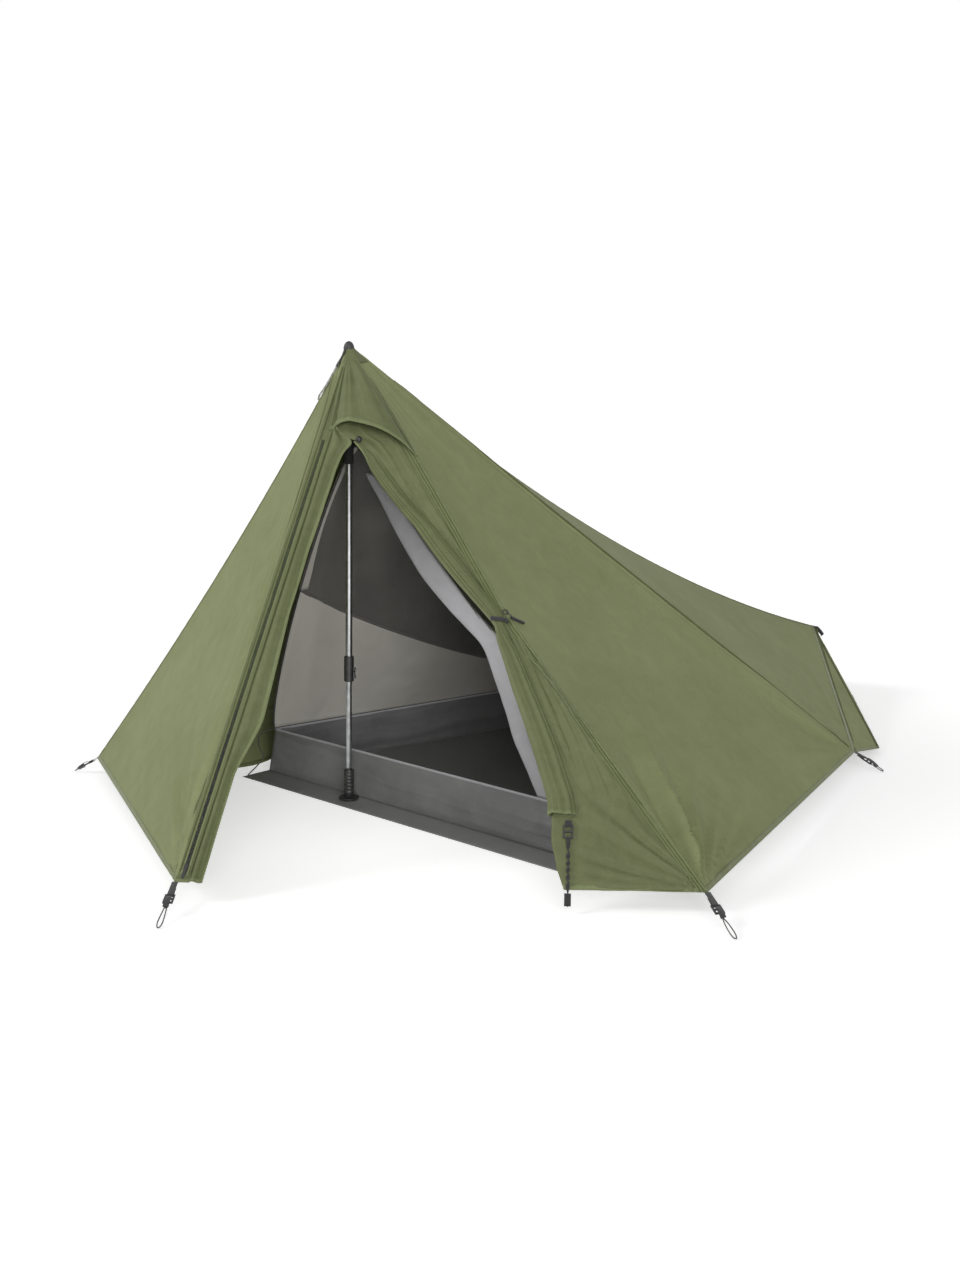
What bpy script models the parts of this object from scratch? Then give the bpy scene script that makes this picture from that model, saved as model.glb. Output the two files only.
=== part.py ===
"""Single-pole tent, pitched on one trekking pole, with its inner tent and its stake-out hardware.

Metres, +Z up. The origin is on the groundsheet's underside, at the middle of the stitch line of its
front hem. +Y runs from the door to the foot end, +X to the right for someone who looks in through
the door. Where a sewn or moving piece lies on another, fit_gap is left between the two.
"""
import math

import bmesh
import bpy
from mathutils import Matrix, Vector

UP = Vector((0, 0, 1))

# Driving sizes of the pitched flysheet, all measured on the ground plan and as heights above it.
apex_height = 1.350
pole_side = 0.300            # the pole stands left of the middle, clear of the way in
pole_back = 0.050
corner_height = 0.050        # the fly's corners ride on straps above the ground
wing_left_out = 1.082
wing_left_forward = 0.302
wing_right_out = 1.031
wing_right_back = 0.008
door_stake_side = 0.040
door_stake_forward = 0.830
right_side_out = 0.600
right_side_back = 1.396
left_side_out = 0.660
left_side_back = 1.500
right_shoulder_out = 0.571
right_shoulder_back = 1.596
left_shoulder_out = 0.660
left_shoulder_back = 1.900
right_foot_out = 0.120
right_foot_back = 2.180
left_foot_out = 0.340
left_foot_back = 2.360
foot_hem_height = 0.020
foot_peak_side = 0.083       # the foot end lies a little to the left, as the pole does
foot_peak_back = 2.232
foot_peak_height = 0.250
ridge_sag = 0.122            # the free ridge to the foot peak hangs in a catenary
wing_edge_sag = 0.026
door_seam_pull = 0.052       # how far the tied-back door draws the right front seam in

# Groundsheet and inner tent.
tub_front_half = 0.726
tub_foot_right = 0.220
tub_foot_left = 0.410
tub_length = 1.900
tub_lip = 0.085              # flat apron in front of the front wall, where the pole stands
apron_hem = 0.010            # the hem in front of its stitch line
wall_inset = 0.006
tub_wall_height = 0.134
tub_wall_lean = 0.012
inner_peak_height = 1.050
inner_peak_back = 0.078
inner_foot_height = 0.215
inner_foot_lean = 0.040
binding_width = 0.036

# Cloth. The solids are a little thicker than the real cloth.
cloth_thickness = 0.0012
floor_thickness = 0.0012
seam_gap = 0.0006
fit_gap = 0.0003
core_back = 0.600            # cloth gains its thickness toward this point under the floor
core_depth = 0.300
merge_distance = 0.00001

# Loose cloth: the flap's soft folds, the gathered door's folds, and how far the hood stands off.
flap_fold_depth = 0.006
fold_depth = 0.020
fold_count = 5
hood_stand_off = 0.045

# Trekking pole.
tube_radius = 0.0100
tube_wall = 0.0012
lower_tube_radius = 0.0085
lower_tube_wall = 0.0012
grip_radius = 0.0140
grip_top_drop = 0.053        # from the apex down to the top of the grip
grip_length = 0.300
grip_end_height = 0.052
clamp_radius = 0.0145
clamp_low = 0.353
clamp_height = 0.074
tube_in_clamp = 0.005
lower_tube_overlap = 0.150
sleeve_radius = 0.0155
sleeve_low = 0.0125
sleeve_height = 0.078
sleeve_neck_radius = 0.0060
sleeve_neck_low = 0.0052
sleeve_socket_floor = 0.030
basket_radius = 0.0295
basket_thickness = 0.0055
tip_radius = 0.0040
pole_turn = math.radians(43.5)   # which way the lock lever's side faces, from +X

# Lock lever on its upright pin.
lever_height = 0.016
lever_length = 0.028
lever_thickness = 0.0045
lever_mid = 0.377
lever_knuckle_radius = 0.00224   # round the pin, so that the lever clears the clamp as it swings
pin_radius = 0.0018
pin_height = 0.030
lug_length = 0.012
lug_height = 0.030
lug_reach = 0.0075

# Apex cap and the cup that takes the grip.
cap_radius = 0.0165
cap_drop = 0.0120
cap_height = 0.0240
cup_radius = 0.0222
cup_wall = 0.0014
cup_depth = 0.022

# Zip.
tape_width = 0.022
tape_thickness = 0.0014
tape_low_height = 0.066
tape_top_height = 1.085
tape_inset = 0.016
slider_length = 0.016
slider_width = 0.011
slider_thickness = 0.0045
slider_start = 0.012
pull_length = 0.030
pull_width = 0.007
pull_thickness = 0.0020
pull_knuckle_radius = 0.00098

# Stake-out hardware.
strap_width = 0.0155
strap_thickness = 0.0012
lock_width = 0.025
lock_length = 0.034
lock_thickness = 0.0040
lock_bar = 0.0040
lock_bar_radius = 0.0019     # the round bar that the strap goes round
loop_cord_radius = 0.0014
loop_spread = 0.0060
loop_end_height = 0.0040
left_wing_angle = math.radians(205)      # each pull's direction on the plan, and its reach
left_wing_reach = 0.080
door_angle = math.radians(-49)
door_reach = 0.180
right_wing_angle = math.radians(-33)
right_wing_reach = 0.180
side_angle = math.radians(8)
side_reach = 0.095
side_strap_clear = 0.0014        # the hem turns outward beside these two straps

# Foot pole.
foot_pole_radius = 0.0045
foot_pole_forward = 0.0080
foot_pole_drop = 0.0024

# Guyline from the apex, over the left edge and down the far side to the ground.
guy_radius = 0.0011
guy_strap_start = 0.030
guy_strap_length = 0.045
guy_strap_width = 0.012

# Fittings of the door's loose corner, the foot peak, the door's peak and the tub's front corner.
corner_tab_length = 0.014
tail_width = 0.010
tail_thickness = 0.0016
door_corner_lift = 0.0045
foot_tab_start = 0.0006
foot_tab_length = 0.050
foot_tab_width = 0.014
peak_ball_radius = 0.009
elastic_radius = 0.0018
tub_elastic_out = 0.040

# Tie-back of the gathered door.
tie_width = 0.0078
toggle_radius = 0.0040
toggle_length = 0.045
toggle_hole_radius = 0.0015
toggle_slope = math.radians(35)

fly_green = "6F7A4C"
flap_green = "6A744A"
inner_grey = "77756D"
mesh_grey = "3E3D39"
tub_grey = "464646"
floor_grey = "343434"
binding_grey = "969492"
black = "232323"
silver = "B9BBBC"


def linear(value):
    """One sRGB channel as a linear value."""
    return value / 12.92 if value <= 0.04045 else ((value + 0.055) / 1.055) ** 2.4


def material(name, colour, roughness, metallic=0.0):
    """A plain Principled material from a hex colour."""
    found = bpy.data.materials.get(name)
    if found:
        return found
    made = bpy.data.materials.new(name)
    made.use_nodes = True
    shader = made.node_tree.nodes["Principled BSDF"]
    channels = [linear(int(colour[i:i + 2], 16) / 255) for i in (0, 2, 4)]
    shader.inputs["Base Color"].default_value = (*channels, 1)
    shader.inputs["Roughness"].default_value = roughness
    shader.inputs["Metallic"].default_value = metallic
    return made


for old in list(bpy.data.objects):
    bpy.data.objects.remove(old)

tent = bpy.data.collections.new("trekking_pole_tent")
cutters = bpy.data.collections.new("cutters")
bpy.context.scene.collection.children.link(tent)
bpy.context.scene.collection.children.link(cutters)


def keep(made, name, finish=None, where=None):
    """Name an object, give it its material and move it to its collection."""
    made.name = name
    for collection in list(made.users_collection):
        collection.objects.unlink(made)
    (where or tent).objects.link(made)
    if finish:
        made.data.materials.clear()
        made.data.materials.append(finish)
    return made


def from_bmesh(name, bm, finish):
    """Turn a bmesh into a named object."""
    bmesh.ops.recalc_face_normals(bm, faces=bm.faces)
    mesh = bpy.data.meshes.new(name)
    bm.to_mesh(mesh)
    bm.free()
    return keep(bpy.data.objects.new(name, mesh), name, finish)


def combine(target, tool, operation='DIFFERENCE'):
    """Cut a tool out of a piece, or join it on. The tool stays in its own hidden collection."""
    keep(tool, tool.name, None, cutters)
    tool.display_type = 'WIRE'
    tool.hide_render = True
    modifier = target.modifiers.new(tool.name, 'BOOLEAN')
    modifier.operation = operation
    modifier.object = tool


def pivot(name, place):
    """An empty on a joint's axis, which carries what moves there."""
    empty = keep(bpy.data.objects.new(name, None), name)
    empty.empty_display_size = lock_length
    empty.location = place
    return empty


def hang_on(carrier, *pieces):
    """Parent pieces to what carries them, where they are."""
    for piece in pieces:
        piece.parent = carrier
        piece.matrix_parent_inverse = carrier.matrix_basis.inverted()


def frame_matrix(origin, along, across, normal):
    """A placed frame whose X, Y and Z axes are along, across and normal."""
    placed = Matrix((along, across, normal)).transposed().to_4x4()
    placed.translation = origin
    return placed


def box(name, size, placed, finish=None):
    """A box of the given size, centred in a placed frame."""
    bm = bmesh.new()
    bmesh.ops.create_cube(bm, size=1)
    bmesh.ops.scale(bm, vec=size, verts=bm.verts)
    made = from_bmesh(name, bm, finish)
    made.matrix_world = placed
    return made


def bar(name, radius, length, centre, axis, finish=None, sides=20):
    """A cylinder of the given length that lies along an axis, centred on a point."""
    bm = bmesh.new()
    bmesh.ops.create_cone(bm, cap_ends=True, segments=sides, radius1=radius, radius2=radius, depth=length)
    made = from_bmesh(name, bm, finish)
    made.matrix_world = Matrix.Translation(centre) @ axis.to_track_quat('Z', 'Y').to_matrix().to_4x4()
    return made


def rod(name, radius, low, high, centre, finish=None, sides=20):
    """An upright cylinder between two heights."""
    middle = Vector((centre[0], centre[1], (low + high) / 2))
    return bar(name, radius, high - low, middle, UP, finish, sides)


def turned(name, profile, centre, finish, sides=24):
    """A profile of (radius, height) pairs, down its outer side, turned about an upright axis.

    A profile that starts off the axis is a closed ring."""
    bm = bmesh.new()
    verts = [bm.verts.new((radius, 0, height)) for radius, height in profile]
    for first, second in zip(verts, verts[1:]):
        bm.edges.new((first, second))
    if profile[0][0] > 0:
        bm.edges.new((verts[-1], verts[0]))
    made = from_bmesh(name, bm, finish)
    screw = made.modifiers.new("turn", 'SCREW')
    screw.steps = sides
    screw.render_steps = sides
    screw.use_merge_vertices = True
    screw.merge_threshold = merge_distance
    made.location = centre
    return made


def flat_sheet(name, corners, thickness, finish):
    """A flat sheet with the given corners on the plan, its underside on the ground."""
    data = bpy.data.curves.new(name, 'CURVE')
    data.dimensions = '2D'
    data.fill_mode = 'BOTH'
    data.extrude = thickness / 2
    spline = data.splines.new('POLY')
    spline.points.add(len(corners) - 1)
    for point, corner in zip(spline.points, corners):
        point.co = (corner.x, corner.y, 0, 1)
    spline.use_cyclic_u = True
    made = keep(bpy.data.objects.new(name, data), name, finish)
    made.location = UP * (thickness / 2)
    return made


def between(first, second, share):
    return first + (second - first) * share


def pulled_in(rows, distance):
    """Draw the rim of a grid of points inward, so that sewn neighbours keep a gap."""
    rows = [[point.copy() for point in row] for row in rows]
    for row in rows:
        row[0] += (row[1] - row[0]).normalized() * distance
        row[-1] += (row[-2] - row[-1]).normalized() * distance
    for column in range(len(rows[0])):
        first = rows[1][column] - rows[0][column]
        last = rows[-2][column] - rows[-1][column]
        rows[0][column] = rows[0][column] + first.normalized() * distance
        rows[-1][column] = rows[-1][column] + last.normalized() * distance
    return rows


def slab(name, outer, inner, finish):
    """A closed sheet between two grids of points."""
    bm = bmesh.new()
    top = [[bm.verts.new(point) for point in row] for row in outer]
    low = [[bm.verts.new(point) for point in row] for row in inner]
    last_row = len(top) - 1
    last_column = len(top[0]) - 1
    for row in range(last_row):
        for column in range(last_column):
            for grid in (top, low):
                bm.faces.new((grid[row][column], grid[row][column + 1],
                              grid[row + 1][column + 1], grid[row + 1][column]))
    rim = [(0, column) for column in range(last_column)]
    rim += [(row, last_column) for row in range(last_row)]
    rim += [(last_row, last_column - column) for column in range(last_column)]
    rim += [(last_row - row, 0) for row in range(last_row)]
    for index, place in enumerate(rim):
        after = rim[(index + 1) % len(rim)]
        bm.faces.new((top[place[0]][place[1]], top[after[0]][after[1]],
                      low[after[0]][after[1]], low[place[0]][place[1]]))
    return from_bmesh(name, bm, finish)


core = Vector((0, core_back, -core_depth))


def cloth(name, rows, finish, thickness=cloth_thickness):
    """A sewn panel: its outer face is the grid, and its thickness runs toward the shared core.

    Panels that share a seam line then meet in a mitre, however they lean."""
    rows = pulled_in(rows, seam_gap / 2)
    inner = [[point + (core - point).normalized() * thickness for point in row] for row in rows]
    return slab(name, rows, inner, finish)


def ribbon(name, path, across, width, thickness, finish):
    """A webbing strip along a path, with its width along one direction throughout."""
    across = across.normalized()
    outer = []
    inner = []
    for index, point in enumerate(path):
        before = path[max(index - 1, 0)]
        after = path[min(index + 1, len(path) - 1)]
        incoming = (point - before).normalized() if index else (after - point).normalized()
        leaving = (after - point).normalized() if index < len(path) - 1 else incoming
        normal = across.cross(incoming + leaving).normalized()
        stretch = 1 / max(math.cos(incoming.angle(leaving) / 2), 0.5)
        side = across * (width / 2)
        lift = normal * (thickness / 2 * stretch)
        outer.append([point - side + lift, point + side + lift])
        inner.append([point - side - lift, point + side - lift])
    return slab(name, outer, inner, finish)


def cord(name, points, radius, finish, closed=False, resolution=2):
    """A cord as a tube along its points."""
    data = bpy.data.curves.new(name, 'CURVE')
    data.dimensions = '3D'
    data.bevel_depth = radius
    data.bevel_resolution = resolution
    data.use_fill_caps = not closed
    spline = data.splines.new('POLY')
    spline.points.add(len(points) - 1)
    for point, place in zip(spline.points, points):
        point.co = (*place, 1)
    spline.use_cyclic_u = closed
    return keep(bpy.data.objects.new(name, data), name, finish)


def smooth_path(points, steps):
    """Points of a smooth curve through the given points."""
    path = []
    for index in range(len(points) - 1):
        p0 = points[max(index - 1, 0)]
        p1 = points[index]
        p2 = points[index + 1]
        p3 = points[min(index + 2, len(points) - 1)]
        for step in range(steps):
            t = step / steps
            path.append(0.5 * (2 * p1 + (p2 - p0) * t + (2 * p0 - 5 * p1 + 4 * p2 - p3) * t ** 2
                               + (3 * p1 - p0 - 3 * p2 + p3) * t ** 3))
    path.append(points[-1])
    return path


fly_cloth = material("fly_cloth", fly_green, 0.75)
flap_cloth = material("fly_flap_cloth", flap_green, 0.75)
inner_cloth = material("inner_cloth", inner_grey, 0.8)
mesh_cloth = material("inner_mesh", mesh_grey, 0.9)
tub_cloth = material("tub_cloth", tub_grey, 0.45)
floor_cloth = material("floor_cloth", floor_grey, 0.55)
binding_cloth = material("binding_cloth", binding_grey, 0.8)
black_plastic = material("black_plastic", black, 0.5)
black_webbing = material("black_webbing", black, 0.85)
elastic_cord = material("elastic_cord", black, 0.8)
grip_foam = material("grip_foam", black, 0.9)
pole_metal = material("pole_aluminium", silver, 0.3, 1.0)
steel = material("steel", silver, 0.35, 1.0)
reflective_cord = material("reflective_cord", silver, 0.6)

# Corners of the flysheet.
apex = Vector((-pole_side, pole_back, apex_height))
left_wing = Vector((-wing_left_out, -wing_left_forward, corner_height))
right_wing = Vector((wing_right_out, wing_right_back, corner_height))
door_stake = Vector((door_stake_side, -door_stake_forward, corner_height))
right_side = Vector((right_side_out, right_side_back, corner_height))
left_side = Vector((-left_side_out, left_side_back, corner_height))
right_shoulder = Vector((right_shoulder_out, right_shoulder_back, foot_hem_height))
left_shoulder = Vector((-left_shoulder_out, left_shoulder_back, foot_hem_height))
right_foot = Vector((right_foot_out, right_foot_back, foot_hem_height))
left_foot = Vector((-left_foot_out, left_foot_back, foot_hem_height))
foot_peak = Vector((-foot_peak_side, foot_peak_back, foot_peak_height))

panel_top = apex_height - cap_drop - fit_gap


def along_to(corner, share, sag=0, toward=None):
    """A point on the line from the apex to a corner, drawn in by its sag."""
    point = between(apex, corner, share)
    if sag:
        point = point + toward * (4 * share * (1 - share) * sag)
    return point


def share_at(height, corner):
    return (apex_height - height) / (apex_height - corner.z)


wing_inward = (right_side - left_wing).normalized()


def left_seam(share):
    return along_to(left_wing, share, wing_edge_sag, wing_inward)


def zip_fold(share):
    return along_to(door_stake, share)


def ridge(share):
    return along_to(foot_peak, share, ridge_sag, -UP)


def right_crease(share):
    return along_to(right_side, share)


def left_crease(share):
    return along_to(left_side, share)


# The right front seam bows toward the tie-back, halfway down: heights and pulls as shares.
door_inward = (door_stake - right_wing).normalized()
seam_pull_shares = ((1.0, 0.0), (0.78, 0.28), (0.60, 0.70), (0.48, 1.0), (0.33, 0.72), (0.17, 0.30),
                    (0.037, 0.0))


def from_table(table, height_share):
    """Read the second column of a falling table at a height share."""
    for first, second in zip(table, table[1:]):
        if height_share >= second[0]:
            part = (first[0] - height_share) / (first[0] - second[0])
            return first[1] + (second[1] - first[1]) * min(max(part, 0), 1)
    return table[-1][1]


def right_seam(share):
    point = along_to(right_wing, share)
    pull = from_table(seam_pull_shares, point.z / apex_height)
    return point + door_inward * (door_seam_pull * pull)


def top_share(corner):
    return share_at(panel_top, corner)


def even_rows(count):
    return [row / count for row in range(count + 1)]


# Heights at which the panels that share the front seams have their rows, as shares of the apex height.
door_top_share = 0.970
gather_top_share = 0.790
gather_low_share = 0.148
hem_share = corner_height / apex_height


def stepped(first, last, count):
    return [first + (last - first) * step / count for step in range(count)]


door_row_shares = (stepped(door_top_share, gather_top_share, 4)
                   + stepped(gather_top_share, gather_low_share, 18)
                   + stepped(gather_low_share, hem_share, 4) + [hem_share])
panel_rows = [0] + [(panel_top - share * apex_height) / (panel_top - corner_height)
                    for share in door_row_shares]


def fan(curves, counts, rows):
    """A grid of points that fans out between neighbouring curves, each given with its top share."""
    grid = []
    for share in rows:
        places = [curve(start + (1 - start) * share) for curve, start in curves]
        line = []
        for index, count in enumerate(counts):
            line += [between(places[index], places[index + 1], step / count) for step in range(count)]
        line.append(places[-1])
        grid.append(line)
    return grid


def fly_panels():
    """The flysheet's fixed panels."""
    cloth("fly_front_left_panel",
          fan(((left_seam, top_share(left_wing)), (zip_fold, top_share(door_stake))), (4,), panel_rows),
          fly_cloth)
    cloth("fly_right_panel",
          fan(((right_seam, top_share(right_wing)), (right_crease, top_share(right_side)),
               (ridge, top_share(foot_peak))), (4, 3), panel_rows), fly_cloth)
    cloth("fly_left_panel",
          fan(((ridge, top_share(foot_peak)), (left_crease, top_share(left_side)),
               (left_seam, top_share(left_wing))), (3, 4), panel_rows), fly_cloth)


def from_peak(corner):
    def curve(share):
        return between(foot_peak, corner, share)
    return curve


foot_start_share = 0.05


def foot_panels():
    """The gusset behind the right side stake, and the panel round the foot end."""
    cloth("fly_right_foot_gusset",
          fan(((from_peak(right_side), foot_start_share), (from_peak(right_shoulder), foot_start_share)),
              (2,), even_rows(4)), fly_cloth)
    corners = (right_shoulder, right_foot, left_foot, left_shoulder, left_side)
    cloth("fly_foot_panel",
          fan([(from_peak(corner), foot_start_share) for corner in corners], (2, 2, 2, 2), even_rows(4)),
          fly_cloth)


# Places on the plane of the door, as a share of the apex height and a share of the way from the
# zip fold to the straight line of the right front seam.
flap_edge_shares = ((0.800, 0.250), (0.683, 0.179), (0.589, 0.131), (0.478, 0.104), (0.288, 0.097),
                    (0.208, 0.059), (0.118, 0.054), (0.037, 0.051))
gather_edge_shares = ((0.790, 0.330), (0.778, 0.397), (0.731, 0.510), (0.665, 0.597), (0.615, 0.682),
                      (0.572, 0.716), (0.510, 0.805), (0.457, 0.871), (0.431, 0.844), (0.347, 0.817),
                      (0.257, 0.798), (0.171, 0.778), (0.148, 0.765))
gather_start_shares = ((0.790, 0.480), (0.731, 0.640), (0.665, 0.720), (0.572, 0.810), (0.510, 0.870),
                       (0.457, 0.911), (0.364, 0.883), (0.266, 0.864), (0.172, 0.838), (0.148, 0.824))
over_gather_shares = ((0.970, 0.020), (0.880, 0.020), (0.790, 0.480))
under_gather_shares = ((0.148, 0.824), (0.135, 0.790), (0.066, 0.736), (0.037, 0.734))
fold_depth_shares = ((0.790, 0.25), (0.665, 0.70), (0.572, 0.60), (0.457, 0.45), (0.364, 0.70),
                     (0.266, 0.90), (0.148, 1.0))

door_normal = (door_stake - apex).cross(right_wing - apex).normalized()


def door_place(height_share, across_share, lift=0):
    """A point on the plane of the door."""
    height = apex_height * height_share
    left = zip_fold(share_at(height, door_stake))
    right = along_to(right_wing, share_at(height, right_wing))
    return between(left, right, across_share) + door_normal * lift


def seam_place(height_share):
    return right_seam(share_at(apex_height * height_share, right_wing))


flap_wave_shares = (0, 0, 0, 0, 0, 0.9, 0.1, 1.0, 0.4)


def zip_flap():
    """The narrow storm flap under the zip, with two soft lengthwise folds."""
    steps = 12
    top = flap_edge_shares[0][0]
    rows = []
    for row in range(steps + 1):
        share = top + (hem_share - top) * row / steps
        left = zip_fold(share_at(apex_height * share, door_stake))
        edge = door_place(share, from_table(flap_edge_shares, share))
        line = []
        for column, depth_share in enumerate(flap_wave_shares):
            place = between(left, edge, column / (len(flap_wave_shares) - 1))
            line.append(place + door_normal * (flap_fold_depth * depth_share))
        rows.append(line)
    cloth("fly_zip_flap", rows, flap_cloth)


def gather_depth(height_share):
    return fold_depth * from_table(fold_depth_shares, height_share)


def door_cloths():
    """The right half of the door: its flat part beside the seam, and the gathered part tied back."""
    rows = []
    for share in door_row_shares:
        edge_table = gather_start_shares
        if share > gather_top_share:
            edge_table = over_gather_shares
        elif share < gather_low_share:
            edge_table = under_gather_shares
        edge = door_place(share, from_table(edge_table, share))
        seam = seam_place(share)
        rows.append([between(seam, edge, column / 4) for column in range(5)])
    cloth("fly_door_panel", rows, fly_cloth)

    rows = []
    columns = fold_count * 4
    for share in door_row_shares:
        if not gather_low_share <= share <= gather_top_share:
            continue
        start = door_place(share, from_table(gather_start_shares, share))
        edge = door_place(share, from_table(gather_edge_shares, share))
        depth = gather_depth(share)
        line = []
        for column in range(columns + 1):
            part = column / columns
            wave = math.sin(2 * math.pi * fold_count * part)
            line.append(between(start, edge, part) + door_normal * (depth * wave))
        rows.append(line)
    cloth("fly_door_gather", rows, flap_cloth)


# Vent hood over the door's peak: its front hem stands off the door on a sewn-in stiffener.
hood_hem_shares = ((0.824, 0.100, 0.10), (0.834, 0.266, 0.55), (0.833, 0.400, 0.85), (0.824, 0.610, 1.0),
                   (0.804, 0.809, 0.75), (0.774, 0.955, 0.12))
hood_top_share = 0.968
hood_bulge_share = 0.25
hood_top_start_share = 0.10
hood_top_width_share = 0.80


def vent_hood():
    """The stiffened hood that sheds rain over the vent at the door's peak."""
    steps = 8
    clear = cloth_thickness + fit_gap
    hem = [door_place(height, across, clear + hood_stand_off * lift)
           for height, across, lift in hood_hem_shares]
    hem = smooth_path(hem, 2)
    tops = []
    for index in range(len(hem)):
        part = index / (len(hem) - 1)
        tops.append(door_place(hood_top_share, hood_top_start_share + hood_top_width_share * part, clear))
    rows = []
    for row in range(steps + 1):
        share = row / steps
        line = []
        for column, (start, end) in enumerate(zip(tops, hem)):
            bulge = hood_stand_off * hood_bulge_share * math.sin(math.pi * column / (len(hem) - 1))
            line.append(between(start, end, share)
                        + door_normal * (bulge * math.sin(math.pi * share)))
        rows.append(line)
    cloth("vent_hood", rows, flap_cloth)


def apex_fittings():
    """Cap outside the apex, and the cup inside it that takes the pole's grip."""
    base = apex_height - cap_drop
    steps = 6
    profile = [(0, base + cap_height)]
    for step in range(1, steps + 1):
        angle = math.pi / 2 * step / steps
        profile.append((cap_radius * math.sin(angle), base + cap_height * math.cos(angle)))
    profile.append((0, base))
    turned("apex_cap", profile, Vector((apex.x, apex.y, 0)), black_plastic, 20)
    grip_top = apex_height - grip_top_drop
    top = grip_top + fit_gap + cup_wall
    inner = cup_radius - cup_wall
    profile = [(0, top), (cup_radius, top), (cup_radius, top - cup_depth), (inner, top - cup_depth),
               (inner, top - cup_wall), (0, top - cup_wall)]
    turned("pole_cup", profile, Vector((apex.x, apex.y, 0)), black_webbing, 20)


def ring_profile(outer, inner, low, high):
    return [(outer, high), (outer, low), (inner, low), (inner, high)]


pole_axis = Vector((apex.x, apex.y, 0))
lever_side = Vector((math.cos(pole_turn), math.sin(pole_turn), 0))
lever_along = Vector((math.sin(pole_turn), -math.cos(pole_turn), 0))


def upper_pole():
    """Grip, upper tube and the clamp at its lower end."""
    grip_top = apex_height - grip_top_drop
    bore = tube_radius + fit_gap
    tube_top = grip_top - 2 * grip_radius
    collar_top = grip_top - grip_length + grip_end_height
    swell = grip_radius + cup_wall
    profile = [(0, grip_top), (grip_radius, grip_top), (swell, grip_top - grip_radius),
               (grip_radius, collar_top + grip_radius), (grip_radius - tube_wall, collar_top),
               (grip_radius, collar_top - tube_wall), (grip_radius, grip_top - grip_length),
               (bore, grip_top - grip_length), (bore, tube_top + fit_gap), (0, tube_top + fit_gap)]
    turned("pole_grip", profile, pole_axis, grip_foam)
    turned("pole_upper_tube", ring_profile(tube_radius, tube_radius - tube_wall,
                                           clamp_low + tube_in_clamp, tube_top), pole_axis, pole_metal)


def lock_clamp():
    """The clamp ring with its slotted lug, the upright pin and the lever."""
    high = clamp_low + clamp_height
    seat = clamp_low + tube_in_clamp - fit_gap
    passing = lower_tube_radius + fit_gap + fit_gap
    bore = tube_radius + fit_gap
    rim = clamp_radius - tube_wall
    profile = [(rim, high), (clamp_radius, high - tube_wall), (clamp_radius, clamp_low + tube_wall),
               (rim, clamp_low), (passing, clamp_low), (passing, seat), (bore, seat), (bore, high)]
    ring = turned("pole_lock_clamp", profile, pole_axis, black_plastic)
    lug_start = clamp_radius - tube_wall
    lug_centre = pole_axis + lever_side * (lug_start + lug_reach / 2) + UP * lever_mid
    lug_place = frame_matrix(lug_centre, lever_side, -lever_along, UP)
    combine(ring, box("clamp_lug", (lug_reach, lug_length, lug_height), lug_place), 'UNION')
    pin_centre = pole_axis + lever_side * (clamp_radius + fit_gap + lever_thickness / 2)
    slot_width = lug_reach + lug_reach
    slot_centre = pole_axis + lever_side * (clamp_radius + slot_width / 2) + UP * lever_mid
    combine(ring, box("clamp_slot", (slot_width, lug_length * 2, lever_height + 2 * fit_gap),
                      frame_matrix(slot_centre, lever_side, -lever_along, UP)))
    combine(ring, rod("clamp_pin_hole", pin_radius + fit_gap, lever_mid - lug_height,
                      lever_mid + lug_height, pin_centre, None, 12))
    rod("pole_lever_pin", pin_radius, lever_mid - pin_height / 2, lever_mid + pin_height / 2,
        pin_centre, steel, 12)
    lever_centre = pin_centre + lever_along * (lever_length / 2) + UP * lever_mid
    lever = box("pole_lock_lever", (lever_thickness, lever_length, lever_height),
                frame_matrix(lever_centre, lever_side, -lever_along, UP), black_plastic)
    combine(lever, rod("lever_knuckle", lever_knuckle_radius, lever_mid - lever_height / 2,
                       lever_mid + lever_height / 2, pin_centre), 'UNION')
    combine(lever, rod("lever_eye", pin_radius + fit_gap, lever_mid - lever_height,
                       lever_mid + lever_height, pin_centre, None, 12))
    hang_on(pivot("lever_pivot", pin_centre + UP * lever_mid), lever)


def lower_pole():
    """The lower tube that telescopes, with its sleeve, basket and tip."""
    tube_low = sleeve_socket_floor + fit_gap
    tube_high = clamp_low + lower_tube_overlap
    tube = turned("pole_lower_tube", ring_profile(lower_tube_radius, lower_tube_radius - lower_tube_wall,
                                                  tube_low, tube_high), pole_axis, pole_metal)
    high = sleeve_low + sleeve_height
    bore = lower_tube_radius + fit_gap
    waist = sleeve_radius - tube_wall
    profile = [(bore, high), (sleeve_radius, high), (sleeve_radius, high - tube_wall * 4),
               (waist, high - tube_wall * 5), (waist, sleeve_low), (sleeve_neck_radius, sleeve_low),
               (sleeve_neck_radius, sleeve_neck_low), (0, sleeve_neck_low)]
    profile = [(0, sleeve_socket_floor), (bore, sleeve_socket_floor)] + profile
    sleeve = turned("pole_tip_sleeve", profile, pole_axis, black_plastic)
    basket_high = sleeve_low - fit_gap
    rim_thickness = basket_thickness / 2
    bore = sleeve_neck_radius + fit_gap
    basket_low = basket_high - basket_thickness
    profile = [(bore, basket_high), (sleeve_radius, basket_high),
               (basket_radius, basket_low + rim_thickness), (basket_radius, basket_low), (bore, basket_low)]
    basket = turned("pole_basket", profile, pole_axis, black_plastic)
    tip = rod("pole_tip", tip_radius, floor_thickness + fit_gap, sleeve_neck_low - fit_gap, pole_axis,
              steel, 16)
    hang_on(pivot("lower_pole_slide", pole_axis), tube, sleeve, basket, tip)


fold_along = (apex - door_stake).normalized()
fold_across = (fold_along.cross(door_normal)).normalized()
if fold_across.dot(right_wing - door_stake) < 0:
    fold_across = -fold_across


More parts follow.
